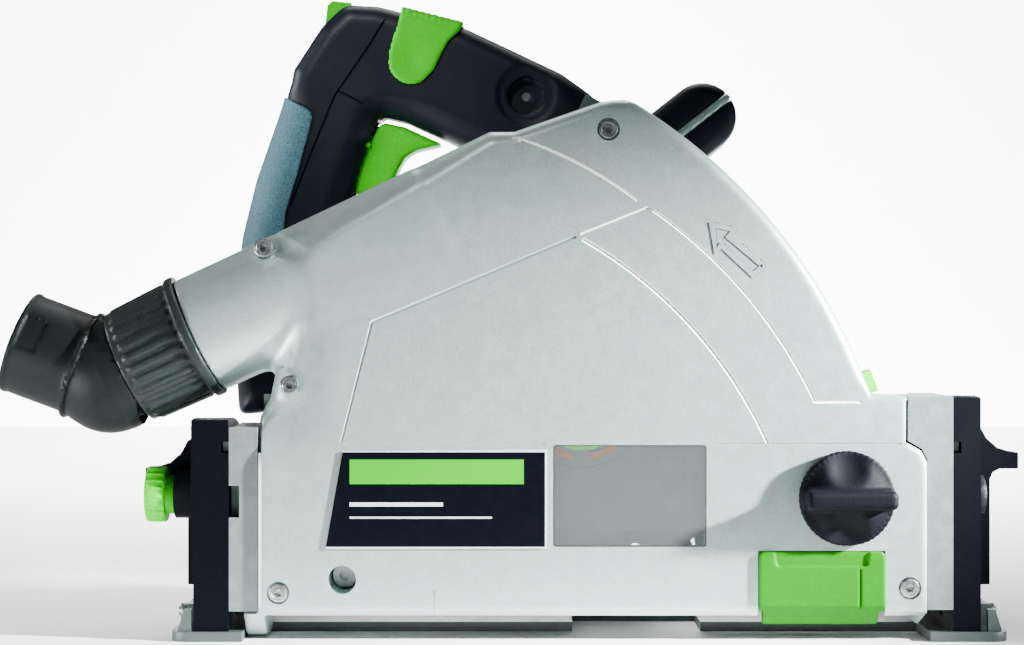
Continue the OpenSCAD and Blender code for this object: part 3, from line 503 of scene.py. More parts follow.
silver = paint("silver_paint", SILVER)
# Near-white paint for the cover's groove walls: a painted highlight, for the light that the groove edges
# catch.
groove_painted_highlight = paint("groove_painted_highlight", (0.88, 0.95, 0.94), 0.0, 0.5)
# A darker copy of the silver paint for the guard frame and gear housing: painted shade, for the shadowed
# look of the frame beside the cover.
silver_painted_shade = paint("silver_with_painted_shade", (0.15, 0.195, 0.19), 0.45, 0.5)
sole_cast = paint("sole_silver", (0.05, 0.068, 0.066), 0.4, 0.5)
navy = plastic("navy_plastic", NAVY, 0.45)
navy_line = plastic("navy_line", (0.05, 0.07, 0.10), 0.4)
# A darker copy of the navy plastic for the knob, which sits in the strong key light: painted shade.
knob_navy_painted_shade = plastic("knob_plastic_painted_shade", (0.0007, 0.0011, 0.0027), 0.6, 1300, 0.4, 1.8, 0.08)
# A darker copy of the navy plastic for the segments and stop levers, which sit in the strong key light:
# painted shade.
navy_painted_shade = plastic("satin_navy_painted_shade", (0.0006, 0.001, 0.0024), 0.62, 1500, 0.2, 1.35, 0.05)
green = plastic("green_plastic", GREEN, 0.5, 1500, 0.06, 1.1, 0.12)
# A darker copy of the green plastic for the splinter guard, which sits in the strong key light: painted
# shade.
green_painted_shade = plastic("satin_green_painted_shade", (0.006, 0.15, 0.0003), 0.5, 1500, 0.06, 1.1, 0.08)
collar_grey = plastic("collar_plastic", (0.009, 0.0135, 0.0135), 0.45, 1500, 0.2, 1.5, 0.2)
black = plastic("black_plastic", (0.004, 0.0055, 0.006), 0.5, 1500, 0.2, 1.5, 0.12)
steel = metal("steel", (0.40, 0.43, 0.43), 0.32)
black_steel = metal("black_steel", (0.05, 0.055, 0.06), 0.4)
brass = metal("brass", (0.72, 0.50, 0.20))
copper = metal("copper", (0.75, 0.38, 0.22), 0.35)


def rubber():
    """Soft grip: speckled, with the pale dots of a two-part moulding."""
    s = Shader("soft_rubber")
    colour = (0.034, 0.115, 0.15)
    g = s.noise(1400, 2, 0.7)
    dots = s.voronoi(900)
    c = s.mix(s.span(g, 0.35, 0.68), tint(colour, 0.55), tint(colour, 1.6))
    c = s.mix(s.span(dots, 0.16, 0.08, 0, 0.5), c, (0.17, 0.27, 0.33))
    c = s.mix(s.span(s.noise(25, 3), 0.35, 0.7, 0, 0.4), c, tint(colour, 0.7))
    s.put("Base Color", c)
    s.put("Roughness", s.span(g, 0.2, 0.8, 0.55, 0.75))
    s.bump((g, 0.45, 0.0004), (dots, 0.2, 0.0003))
    return s.m


def blade_finish():
    """Ground blade: circular marks about the spindle, a broken orange ring and a thin dark one."""
    s = Shader("blade_steel")
    x, y, z = s.xyz()
    dx = s.math("SUBTRACT", x, SPIN[0] * MM)
    dz = s.math("SUBTRACT", z, SPIN[1] * MM)
    r = s.math("SQRT", s.math("ADD", s.math("MULTIPLY", dx, dx), s.math("MULTIPLY", dz, dz)))
    a = s.math("ARCTAN2", dz, dx)
    comb = s.t.nodes.new("ShaderNodeCombineXYZ")
    s.set(comb, 0, s.math("MULTIPLY", r, 6.0))
    s.set(comb, 1, s.math("MULTIPLY", a, 0.02))
    marks = s.noise(420, 4, 0.6, comb.outputs[0])
    base = (0.15, 0.185, 0.185)
    c = s.mix(s.span(marks, 0.3, 0.7), tint(base, 0.72), tint(base, 1.15))
    c = s.mix(s.span(s.noise(60, 3), 0.4, 0.7, 0, 0.3), c, tint(base, 0.75))

    def band(lo, hi):
        inner = s.math("GREATER_THAN", r, lo * MM)
        return s.math("MULTIPLY", inner, s.math("LESS_THAN", r, hi * MM))
    dash = s.math("GREATER_THAN", s.math("SINE", s.math("MULTIPLY", a, 5.0)), -0.72)
    c = s.mix(s.math("MULTIPLY", band(21.6, 24.2), dash), c, (0.55, 0.14, 0.015))
    c = s.mix(band(27.0, 27.5), c, (0.10, 0.12, 0.12))
    s.put("Base Color", c)
    s.put("Metallic", 0.85)
    s.put("Roughness", s.span(marks, 0.2, 0.8, 0.24, 0.42))
    s.bump((marks, 0.2, 0.0002))
    return s.m


def window_finish():
    """Clear plastic with faint haze."""
    s = Shader("clear_window")
    g = s.noise(120, 4)
    s.put("Base Color", s.mix(s.span(g, 0.3, 0.7), (0.82, 0.88, 0.88), (0.92, 0.96, 0.96)))
    s.put("Roughness", s.span(s.noise(700, 4), 0.45, 0.75, 0.0, 0.03))
    s.put("Specular IOR Level", 0.2)
    s.put("Transmission Weight", 0.96)
    s.put("IOR", 1.3)
    s.bump((s.noise(60, 2), 0.02, 0.0005))
    return s.m


def label_finish():
    """Name plate without any name: dark field, pale border, a plain green band and two thin lines."""
    s = Shader("dark_label")
    x, y, z = s.xyz()
    field = (0.0008, 0.0014, 0.0034)

    def between(v, lo, hi):
        return s.math("MULTIPLY", s.math("GREATER_THAN", v, lo * MM),
                      s.math("LESS_THAN", v, hi * MM))

    def patch(x0, x1, z0, z1):
        return s.math("MULTIPLY", between(x, x0, x1), between(z, z0, z1))
    g = s.noise(1500, 2)
    c = s.mix(s.span(g, 0.3, 0.7), tint(field, 0.8), tint(field, 1.3))
    c = s.mix(patch(-98, -27, 64.5, 74.5), c, (0.02, 0.30, 0.002))
    c = s.mix(patch(-98, -60, 55.4, 57.0), c, (0.55, 0.60, 0.60))
    c = s.mix(patch(-98, -40, 50.4, 51.2), c, (0.42, 0.47, 0.48))
    edge = s.math("MAXIMUM", s.math("GREATER_THAN", z, 77.55 * MM),
                  s.math("LESS_THAN", z, 38.85 * MM))
    edge = s.math("MAXIMUM", edge, s.math("GREATER_THAN", x, -18.3 * MM))
    c = s.mix(edge, c, (0.52, 0.57, 0.57))
    s.put("Base Color", c)
    s.put("Specular IOR Level", 0.08)
    s.put("Roughness", s.span(s.noise(300, 3), 0.3, 0.7, 0.3, 0.42))
    s.bump((g, 0.06, 0.0002))
    return s.m


def board_finish():
    """Green board with small solder spots."""
    s = Shader("circuit_board")
    v = s.voronoi(260)
    c = s.mix(s.span(v, 0.35, 0.30), (0.02, 0.13, 0.04), (0.30, 0.27, 0.12))
    c = s.mix(s.span(s.noise(400, 2), 0.4, 0.6, 0, 0.5), c, (0.01, 0.07, 0.03))
    s.put("Base Color", c)
    s.put("Roughness", s.span(s.noise(200, 2), 0.3, 0.7, 0.3, 0.5))
    s.bump((v, 0.2, 0.0004))
    return s.m


teal = rubber()
blade = blade_finish()
window = window_finish()
label = label_finish()
board = board_finish()


# ---- CAD pieces that keep their shape: softened edges and a finish ----

LOOKS = {
    sole_cast: "base_plate", silver_painted_shade: "guard_frame gear_housing",
    navy_painted_shade: "front_segment rear_segment front_stop_lever rear_stop_lever",
    navy: "motor_housing motor_end_cap depth_stop_button",
    green: "rear_clamp_knob front_rail_cam rear_rail_cam depth_stop release_lever speed_dial "
           "glide_strips outer_flange",
    black: "fan fan_baffle switch_body power_inlet",
    steel: "segment_screws pivot_shaft plunge_spring depth_scale splinter_carrier "
           "slot_shield riving_knife spindle_bearings rotor_bearings spindle inner_flange "
           "drive_gear pinion_shaft handle_screws",
    blade: "saw_blade", black_steel: "blade_bolt clamp_bolts stator armature",
    brass: "pivot_bushes brush_holders", copper: "commutator", label: "name_plate",
    board: "electronics_module",
}
# Width of each piece's softened edges, where it isn't the usual one
USUAL_EDGE = 0.3
EDGE = {"base_plate": 0.5, "front_segment": 2.2, "rear_segment": 1.8, "front_stop_lever": 1.2,
        "rear_stop_lever": 1.2, "motor_end_cap": 0.6, "motor_housing": 0.5, "guard_frame": 0.6,
        "gear_housing": 0.6, "release_lever": 0.9, "rear_clamp_knob": 0.5, "name_plate": 0.15,
        "saw_blade": 0.08, "drive_gear": 0.1, "pinion_shaft": 0.1, "plunge_spring": 0.0}
for look, names in LOOKS.items():
    for name in names.split():
        ob = NODES[name]
        ob.data.materials.clear()
        ob.data.materials.append(look)
        w = ob.modifiers.new("weld", "WELD")
        w.merge_threshold = 1e-6
        width = EDGE.get(name, USUAL_EDGE)
        if width:
            b = ob.modifiers.new("bevel", "BEVEL")
            b.width = width * MM
            b.segments = 2
            b.limit_method = "ANGLE"
            b.angle_limit = math.radians(35)
            b.miter_outer = "MITER_ARC"
            b.use_clamp_overlap = True
            b.harden_normals = True


# ---- Blade cover ----

def top_line(x):
    """Height of the cover's upper edge, from the duct to the apex."""
    return np.interp(x, (-180, -128.5, -49.8, -41, -31, 4.1, 14.5, 20.8), (144.1, 168.1, 204.8,
                     209, 208.9, 221.1, 222.1, 219.5))


# Outlines of the cover and of the room inside it
casing_2d = poly([(-141.6, 1.2), (-120.4, 1.2), (-120.4, 7.3)]
                 + arc(-92.6, 18.1, 15.9, 222, 318, 14)
                 + [(116, 7.8), (116, 3.7), (133.8, 3.7), (137.9, 12), (137.9, 73), (135.5, 78),
                    (129.7, 81.2), (129.7, 100.2)]
                 + arc(PIVOT[0], PIVOT[1], 229, 19.2, 57.6, 40)
                 + [(18.5, 221), (14.5, 222.1), (9.5, 222.3), (4.1, 221.1), (-31, 208.9),
                    (-41, 209), (-49.8, 204.8), (-128.5, 168.1), (-126, 150), (-129, 112),
                    (-131.4, 99.5), (-135.7, 91.4), (-135.7, 11.8), (-141.6, 11.8)])
hollow_2d = poly([(-132.7, -20), (-132.7, 92), (-128, 99), (-128, 150), (-126, 166),
                  (-48.5, 202), (-30, 205.9), (4.6, 218), (14, 218.8)]
                 + arc(PIVOT[0], PIVOT[1], 226, 57.2, 18.6, 30)
                 + [(126.7, 97.2), (126.7, 78), (134.5, 72), (134.5, -20)])


def edge_radius(x, z):
    """Radius of the cover's edge: big beside the duct, small at the foot."""
    top = 25 - 18.5 * ramp((x + 134) / 112)
    top = np.where(x > 15, 4.6, top)
    w = ramp((z - 100) / (12 + 38 * ramp(-x / 40)))
    left = 4.2 * ramp((z - 84) / 10) * ramp((-118 - x) / 8) * (1 - w)
    return 2.0 + (top - 2.0) * w + left


def face_depth(x, z):
    """The lower left of the face falls back under the duct."""
    return FACE + 4.5 * ramp((-101 - x) / 34) * ramp((z - 70) / 26)


def post_field(x, y, z, at, r):
    """A round post from the wall to just behind the cover's face."""
    return smax(hyp(x - at[0], z - at[1]) - r, abs(y + 64.5) - 13.3, 0.5)


def cover_field(x, y, z):
    """The cover with its dust chute, hollow inside, with posts for its screws and the pivot."""
    d2 = casing_2d(x, z)
    e = edge_radius(x, z)
    front = face_depth(x, z) - y
    body = smax(puff(d2, front, e), y - WALL, 0.6)
    relief = ((BLADE - y) - z) / math.sqrt(2)
    body = smax(body, relief, 0.8)
    t, r = along(x, y, z, CHUTE, CHUTE_D)
    duct = smax(smax(r - CHUTE_BORE - CHUTE_WALL, t, 0.8), -106 - t, 0.8)
    outer = smin(body, duct, 9)
    above = (z - top_line(x)) * 0.9
    limit = smax(FACE - 0.05 - y, above, 1.0)
    outer = smax(outer, limit, 0.8)
    e_in = np.maximum(e - 3, 0.6)
    room = smax(puff(hollow_2d(x, z), front + 3, e_in), y - (WALL + 0.5), 0.3)
    bore = smax(smax(r - CHUTE_BORE, t + 0.5, 0.5), -103 - t, 0.5)
    tail = smax(r - 19, abs(t + 3.5) - 16.5, 0.3)
    inner = smax(smin(room, bore, 0.5), above + 2.9, 0.5)
    solid = smax(outer, -smin(inner, tail, 0.3), 0.8)
    spigot = smax(smax(r - 21.4, abs(t - 5) - 7, 0.4), 19 - r, 0.4)
    solid = smin(solid, spigot, 0.4)
    for at in SCREWS:
        solid = smin(solid, smax(post_field(x, y, z, at, 5.6), outer, 0.3), 1.0)
    return smin(solid, post_field(x, y, z, PIVOT, 9), 1.0)


cover = model("blade_cover_shell", cover_field, (-180, -82.5, -1.5), (141, -26, 225), 1.25,
              [silver, groove_painted_highlight], "silver_paint", "guard", "blade_cover")
# Window seat and opening, pivot hole, splinter guard's place, knob's slot, and three small notches
tools = [
    prism(rounded_rect(-15.1, 38.8, 47.7, 80.5, 1.5), FACE - 1, FACE + 1.6),
    prism(rounded_rect(-14.5, 39.4, 47.1, 79.9, 1.5), FACE - 1, FACE + 5),
    drum(PIVOT[0], PIVOT[1], 5.8, FACE - 1, WALL + 1),
    prism([(68.6, -1), (120.6, -1), (120.6, 37.2), (68.6, 37.2)], FACE - 1, FACE + 10),
    prism(rounded_rect(99.9, 46, 108.9, 63.4, 4.4), FACE - 1, FACE + 5),
    prism([(-63.9, 7), (-63.1, 7), (-63.1, 21.2), (-63.9, 21.2)], FACE - 1, FACE + 1),
    prism([(-136.5, 77.1), (-134.2, 77.1), (-134.2, 91.4), (-136.5, 91.4)], FACE - 1, FACE + 8),
    prism([(128.9, 80.8), (129.9, 80.8), (129.9, 98.6), (128.9, 98.6)], FACE - 1, FACE + 4),
]
for px, pz in SCREWS:
    beside_duct = px < -130 and pz > 150
    tools.append(drum(px, pz, 4.7, FACE - 1, FACE + (6.6 if beside_duct else 2.3)))
    tools.append(drum(px, pz, 2.2, FACE - 1, WALL + 1))
# Grooves in the face, each a path with its width and depth; the last is the arrow's outline
LINES = [
    ([(-101.4, 81.3), (-88.9, 130.6), (-5.5, 165.6)], 1.5, 0.7),
    ([(-3.7, 166.2), (24.3, 177.4)], 1.4, 0.6),
    (arc(-86.9, 13.9, 197.6, 55.2, 25.2, 40) + [(111.4, 98.1)], 1.4, 0.6),
    (arc(-92.2, 7.3, 180.7, 60.4, 24.2, 40), 1.9, 0.9),
    ([(-100.4, 80.9), (-18, 80.9)], 0.8, 0.35),
    ([(51, 80.9), (127, 80.9)], 0.8, 0.45),
    (arc(-78.9, 50.9, 162.4, 73.6, 52.6, 24), 1.0, 0.4),
    ([(70.7, 153.5), (56.6, 165.4), (58.9, 168.2), (49.7, 170.3), (51.2, 159.3), (53.5, 162.0),
      (66.5, 149.8), (70.7, 153.5)], 1.3, 0.6),
]
# Where the flat of the rounded face really lies
FLAT = FACE + 0.18
for path, width, depth in LINES:
    tools.append(groove(path, width, depth, FLAT))
carve(cover, tools)


def mark_grooves(ob, lines, top):
    """Gives the walls of the grooves the second material, the near-white paint of their painted
    highlight.
    """
    n = len(ob.data.polygons)
    c = np.empty(3 * n)
    ob.data.polygons.foreach_get("center", c)
    c = c.reshape(-1, 3) / MM
    slot = np.zeros(n, int)
    near = np.flatnonzero((c[:, 1] > top + 0.03) & (c[:, 1] < top + 1.2))
    for path, width, _ in lines:
        p = np.array(path, float)
        for a, b in zip(p[:-1], p[1:]):
            q = c[near][:, [0, 2]] - a
            t = np.clip(q @ (b - a) / ((b - a) @ (b - a)), 0, 1)
            d = np.linalg.norm(q - t[:, None] * (b - a), axis=1)
            slot[near[d < width * 0.5]] = 1
    ob.data.polygons.foreach_set("material_index", slot)


# The groove walls wear the near-white paint: a painted highlight along each groove.
finish_piece(cover, [silver, groove_painted_highlight], "guard")
mark_grooves(cover, LINES, FLAT)

glass = NODES["view_window"]
glass.data.materials.clear()
glass.data.materials.append(window)


def torx_screw(x, z, y_top, r):
    """Pan head with a six-lobed recess, and its shank."""
    n = 48
    star = [1 + 0.17 * math.cos(6 * a) for a in np.linspace(0, 2 * math.pi, n, endpoint=False)]
    # Depth below the top, with the head's radius less this, then the recess's mean radius
    head = ((2.0, 0), (0.5, 0), (0.15, 0.1575), (0, 0.45), (0, 1.1), (0.12, 1.2), (0.12, 1.45))
    recess = ((0.05, 1.72), (0.2, 1.62), (1.3, 1.50))
    rings = [([r - less] * n, y_top + down) for down, less in head]
    rings += [([mean * k for k in star], y_top + down) for down, mean in recess]
    v, f = [], []

    def ring(radii, y):
        for i, q in enumerate(radii):
            a = 2 * math.pi * i / n + 0.2
            v.append((x + q * math.cos(a), y, z + q * math.sin(a)))

    for radii, y in rings:
        ring(radii, y)
    for k in range(len(rings) - 1):
        for i in range(n):
            j = (i + 1) % n
            f.append((k * n + i, k * n + j, (k + 1) * n + j, (k + 1) * n + i))
    v.append((x, y_top + 1.6, z))
    last = (len(rings) - 1) * n
    f += [(last + i, last + (i + 1) % n, len(v) - 1) for i in range(n)]
    base = len(v)
    for q, y in ((2.0, y_top + 2.0), (2.0, WALL + 1.6), (1.6, WALL + 2.0)):
        ring([q] * n, y)
    f += [(i, base + i, base + (i + 1) % n, (i + 1) % n) for i in range(n)]
    for k in range(2):
        for i in range(n):
            j = (i + 1) % n
            f.append((base + k * n + i, base + (k + 1) * n + i, base + (k + 1) * n + j,
                      base + k * n + j))
    f.append([base + 2 * n + i for i in range(n)])
    return v, f


verts, faces = [], []
for px, pz in SCREWS:
    sv, sf = torx_screw(px, pz, FACE + 0.15, 3.9)
    faces += [tuple(i + len(verts) for i in q) for q in sf]
    verts += sv
object_of("cover_screws_torx", verts, faces, steel, "guard", ["cover_screws"])


# ---- Main handle ----

HANDLE_OUT = [(-104.7, 269.2), (-90, 268.4), (-51.7, 258.7), (-10.6, 239.3), (4.4, 228.7),
              (9, 216), (12, 198), (13, 180), (12, 160), (-11.15, 125.23), (-58, 103),
              (-130, 101), (-140, 91), (-151, 90), (-152.5, 114), (-149.2, 166.9), (-143, 192),
              (-130.4, 228.3), (-128, 235.4), (-127.2, 240.6), (-114.8, 259.6)]
HANDLE_IN = [(-88, 220.5), (-77.5, 218), (-58.7, 209.3), (-22, 192), (-12, 176), (-45, 160),
             (-60, 138), (-106, 138), (-103, 172), (-98, 192)]
handle_out2d = poly(fillet(HANDLE_OUT, [9, 10, 30, 20, 8, 16, 20, 30, 10, 5, 30, 10, 6, 4, 6, 30, 40,
                                        10, 6, 6, 10], 5))
handle_in2d = poly(fillet(HANDLE_IN, [2, 9, 9, 12, 5, 14, 14, 10, 18, 8], 6))
# Screw bosses; the first also has the deep hole that shows on the cover's side
DEEP_HOLE = (-25.6, 229)
BOSSES = (DEEP_HOLE, (-118, 243), (-139, 124), (2, 178))


def handle_body(x, y, z):
    """The whole handle as one solid."""
    d2 = smax(handle_out2d(x, z), -handle_in2d(x, z), 1.0)
    d2 = smax(d2, MOTOR_CLEAR - hyp(x - MOTOR[0], z - MOTOR[1]), 0.5)
    top = ramp((z - 222) / 12)
    e = 13.0 - 5.0 * top - 5.0 * ramp((140 - z) / 20)
    return puff(d2, abs(y - HANDLE_Y) - HANDLE_HALF, e)


def handle_half(side):
    """The field of one hollow half: side 1 faces the cover, -1 faces away."""
    def field(x, y, z):
        d = handle_body(x, y, z)
        room = d + 3.0
        for at in BOSSES:
            tube = hyp(x - at[0], z - at[1]) - (11 if at == DEEP_HOLE else 6)
            room = smax(room, -tube, 0.5)
        shell = smax(d, -room, 0.6)
        shell = smax(shell, side * (y - HANDLE_Y) + 0.12, 0.3)
        gap = boxed(x, y, z, (-110, HANDLE_Y - 9.7, 184), (-86, HANDLE_Y + 9.7, 219.2), 0.8)
        shell = smax(shell, -gap, 0.5)
        for at in BOSSES:
            r = hyp(x - at[0], z - at[1])
            if side > 0 and at == DEEP_HOLE:
                shell = smax(shell, -smax(r - 8, y + 21, 0.4), 0.8)
                shell = smax(shell, -smax(r - 12.5, y + 26.2, 0.3), 1.0)
            if side < 0:
                shell = smax(shell, -smax(r - 4.6, -y, 0.3), 0.6)
            shell = smax(shell, -smax(r - 2.1, -25 - y, 0.3), 0.3)
        if side < 0:
            shell = smax(shell, -smax(hyp(x + 97, z - 246) - 3.1, 3.7 - y, 0.2), 0.4)
        pin = 1.3 - hyp(x - TRIGGER_PIN[0], z - TRIGGER_PIN[1])
        return smax(shell, pin if side > 0 else shell, 0.2)
    return field


left = model("handle_left_half", handle_half(1), (-156, -29.5, 87), (17, -8, 272), 1.3,
             navy, "navy_plastic", "head", "handle_left")
carve(left, [groove(path, 1.0, 0.7, HANDLE_Y - HANDLE_HALF) for path in (
    [(-127.8, 181), (-118, 206), (-108.5, 229), (-94, 250), (-84, 266.5)],
    [(-107.5, 231), (-92, 223.5), (-64, 212.5)],
)])
finish_piece(left, [navy, navy_line], "head")
model("handle_right_half", handle_half(-1), (-156, -12, 87), (17, 9.5, 272), 1.3,
      navy, "navy_plastic", "head", "handle_right")

grip_2d = poly(fillet([(-133, 230), (-117.5, 221.5), (-124, 196.5), (-129.7, 178), (-132, 150),
                       (-132, 137), (-158, 137), (-158, 168), (-148, 194), (-136, 232)],
                      [2, 5, 20, 20, 10, 3, 0, 0, 0, 0], 6))


def grip_field(x, y, z):
    """A soft skin on the handle's surface, inside its outline."""
    d = handle_body(x, y, z)
    skin = smax(d - 1.2, -1.2 - d, 0.25)
    return smax(skin, grip_2d(x, z), 0.8)


model("soft_grip_pad", grip_field, (-156, -30.5, 134), (-112, 10.5, 235), 0.85,
      teal, "soft_rubber", "head", "soft_grip")


# ---- Lock slider over the top of the handle ----

def on_top(x, z):
    """The handle top's own axes: along it, and out of it."""
    a = math.radians(14.22)
    dx, dz = x + 69.5, z - 263.25
    return dx * math.cos(a) - dz * math.sin(a), dx * math.sin(a) + dz * math.cos(a)


slider_2d = poly(fillet([(-10.8, 1.8), (17.3, 1.8), (16.4, -2), (12.9, -8), (10.9, -15.5),
                         (9.9, -21.5), (6.6, -27.6), (2.6, -30.4), (-2.2, -30.8), (-7, -29),
                         (-10.2, -25.4), (-11.4, -20), (-11.3, -12), (-10.6, -5)],
                        [1.5, 1, 3, 10, 20, 10, 8, 8, 8, 8, 8, 10, 20, 20], 6))


def slider_field(x, y, z):
    """A saddle over the handle, with thumb ridges on top and a dimple at its side."""
    u, w = on_top(x, z)
    d = handle_body(x, y, z)
    half = 18.8
    plate = smax(slab(slider_2d(u, w), y, HANDLE_Y - half, HANDLE_Y + half, 1.8), 0.35 - d, 0.4)
    dimple = hyp((u + 0.9) / 8.6, (w + 19) / 9.4, (y - (HANDLE_Y - half - 2.4)) / 2.9) - 1
    ridges = 0.15 * np.cos(u * 2.2) * ramp((w + 2.5) / 2.5) * ramp((13 - abs(u)) / 3)
    return smax(plate, -dimple * 3, 1.2) + np.where(w > -2.5, ridges + 0.15, 0)


model("lock_slider_saddle", slider_field, (-92, -31, 226), (-46, 11, 269), 0.75,
      green, "green_plastic", "plunge_lock", "lock_slider")


# ---- Trigger ----

trigger_2d = poly(fillet([(-90, 216.6), (-87.3, 217.9), (-78.6, 216), (-62, 208.4), (-67.7, 207.2),
                          (-74.2, 205.6), (-78.6, 202.6), (-80.8, 198.8), (-83, 194), (-89, 187),
                          (-101, 186.5), (-99, 205)],
                         [1.5, 1.5, 6, 0.6, 8, 8, 6, 8, 4, 4, 2, 4], 5))


def trigger_field(x, y, z):
    """The trigger with its pin."""
    d = slab(trigger_2d(x, z), y, HANDLE_Y - 9, HANDLE_Y + 9, 2.2)
    pin = smax(hyp(x - TRIGGER_PIN[0], z - TRIGGER_PIN[1]) - 1.2, abs(y - HANDLE_Y) - 11, 0.2)
    return smin(d, pin, 0.3)


model("trigger_lever", trigger_field, (-104, -23, 184), (-60, 3, 220), 0.7,
      green, "green_plastic", "switch_trigger", "trigger")


# ---- Front handle ----

def on_grip(x, z):
    """The front grip's own axes: along its rib, and out of the rib's plane."""
    dx, dz = x - FRONT_GRIP[0], z - FRONT_GRIP[1]
    c, s = math.cos(FRONT_A), math.sin(FRONT_A)
    return dx * c + dz * s, -dx * s + dz * c


def front_grip(x, y, z):
    """Two waisted shells, one on each side of the rib."""
    u, w = on_grip(x, z)
    across = y - FRONT_Y
    r = 15.5 - 0.9 * ramp((abs(across) - 30) / 16) - 0.5 * np.cos(across / 9) ** 2
    d2 = hyp(np.maximum(np.maximum(u, -20 - u), 0), w) - r
    return smax(puff(d2, abs(across) - 45, 5), 1.75 - abs(w), 0.5)


model("front_grip_shells", front_grip, (17, -32.5, 190), (69, 62.5, 238), 1.2,
      navy, "navy_plastic", "head", "front_handle_shells")

strut_2d = poly(fillet([(14.4, 190), (19, 196.5), (23, 193), (33, 176), (36, 165), (28, 140),
                        (-11.15, 125.23), (14.4, 160)], [3, 2, 3, 6, 8, 8, 0, 6], 5))


def front_frame(x, y, z):
    """The rib between the shells, on two struts from the motor housing."""
    u, w = on_grip(x, z)
    flat = boxed(u, y, w, (-44, -31, -1.7), (14.2, 61, 1.7), 0.9)
    strut = slab(strut_2d(x, z), y, -26.5, -21.5, 1.0)
    strut = np.minimum(strut, slab(strut_2d(x, z), y, 44, 49, 1.0))
    strut = smax(strut, MOTOR_CLEAR - hyp(x - MOTOR[0], z - MOTOR[1]), 0.4)
    cross = boxed(u, y, w, (-43.5, -26.5, -4), (-37, 49, 4), 1.2)
    return smin(smin(flat, cross, 2.0), strut, 2.5)


model("front_handle_carrier", front_frame, (10, -33, 128), (66, 63, 234), 1.1,
      silver, "silver_paint", "head", "front_handle_frame")


# ---- Dust collar and elbow ----

def collar_field(x, y, z):
    """Ribbed collar round the chute's mouth and the elbow's neck."""
    t, r = along(x, y, z, CHUTE, CHUTE_D)
    up = (x - CHUTE[0]) * -CHUTE_D[2] + (z - CHUTE[2]) * CHUTE_D[0]
    a = np.arctan2(y - CHUTE[1], up)
    wave = 0.75 * ramp(0.5 + 1.4 * np.cos(30 * a)) * ramp((t - 5) / 1.5) * ramp((30.5 - t) / 1.5)
    wall = r - (25.2 - (t - 4) * 0.034) - wave
    lip = smax(r - 27, abs(t - 2.4) - 2.0, 0.9)
    out = smin(smax(wall, abs(t - 16.7) - 16.3, 0.8), lip, 0.8)
    bore = np.where(t < 12.5, r - 21.46, r - 20.4)
    return smax(out, -bore, 0.4)


model("dust_collar_ring", collar_field, (-203, -83, 84), (-148, -25, 154), 0.9,
      collar_grey, "black_plastic", "dust_connector", "dust_collar")


def elbow_field(x, y, z):
    """Bent tube with a rib, an end lip and a shallow field on its outer side."""
    t, r = along(x, y, z, CHUTE, CHUTE_D)
    s, q = along(x, y, z, PORT_O, PORT_D)
    ball = hyp(x - PORT_O[0], y - PORT_O[1], z - PORT_O[2])

    def tube(ra, rb, rc, end):
        neck = smax(r - ra, t - BEND, 0.3)
        port = smax(q - rc, -s, 0.3)
        port = smax(port, s - end, 0.5)
        return smin(smin(neck, ball - rb, 1.0), port, 3.0)
    out = tube(24, 24, 21.4, 40.8)
    lip = smax(q - 21.9, abs(s - 39.9) - 0.9, 0.5)
    rib = smax(q - 23.4, abs(s - 12.8) - 0.9, 0.6)
    out = smin(smin(out, lip, 0.5), rib, 0.6)
    w = (x - PORT_O[0]) * PORT_D[2] - (z - PORT_O[2]) * PORT_D[0]
    field = smax(smax(abs(s - 33.6) - 4.6, abs(w - 6.5) - 6.5, 1.2), y - PORT_O[1], 0.3)
    out = smax(out, -smax(field, 20.7 - q, 0.2), 0.3)
    d = smax(out, -tube(20.4, 20.4, 18.5, 60), 0.4)
    return smax(d, 33.05 - t, 0.3)


model("dust_elbow_port", elbow_field, (-246, -82, 80), (-186, -27, 146), 1.0,
      black, "black_plastic", "dust_connector", "dust_elbow")


# ---- Splinter guard and its knob ----

def knob_field(x, y, z):
    """Serrated disc with a domed middle, scooped on both sides of a grip bar."""
    dx, dz = x - KNOB[0], z - KNOB[1]
    r = hyp(dx, dz)
    disc = puff(r - 19.4, abs(y - (FACE - 3.0)) - 2.55, 1.0)
    disc = disc + 0.25 * ramp((r - 15) / 3) * np.cos(24 * np.arctan2(dz, dx)) ** 8
    dome = hyp(r, y - (FACE + 22)) - 32.5
    dome = smax(dome, r - 18.2, 1.5)
    body = smin(disc, smax(dome, y - (FACE - 1), 0.3), 1.2)
    scoop = hyp(dx, abs(dz) - 18.5, y - (FACE - 21.5)) - 17.6
    body = smax(body, -scoop, 1.6)
    bar = boxed(x, y, z, (86.5, FACE - 15.6, 54.9), (123.6, FACE - 3, 62.7), 2.6)
    body = smin(body, bar, 2.2)
    bolt_hole = 4.06 - r - 50 * ramp((FACE - 9.4 - y) / 0.6)
    return smax(body, bolt_hole, 0.3)


model("splinter_clamp_knob", knob_field, (82, -97.5, 37), (127, -78.5, 81), 0.7,
      knob_navy_painted_shade, "navy_plastic", "splinter_clamp", "splinter_knob")

guard_2d = poly(fillet([(68.9, 6.4), (120.3, 6.4), (120.3, 36.9), (113.6, 36.9), (113.2, 31),
                        (75.9, 31), (75.5, 36.9), (68.9, 36.9)], [1, 1, 2.5, 1.2, 2, 2, 1.2, 2.5]))
plate_2d = poly(rounded_rect(68.9, 6.4, 120.3, 36.9, 1.8))


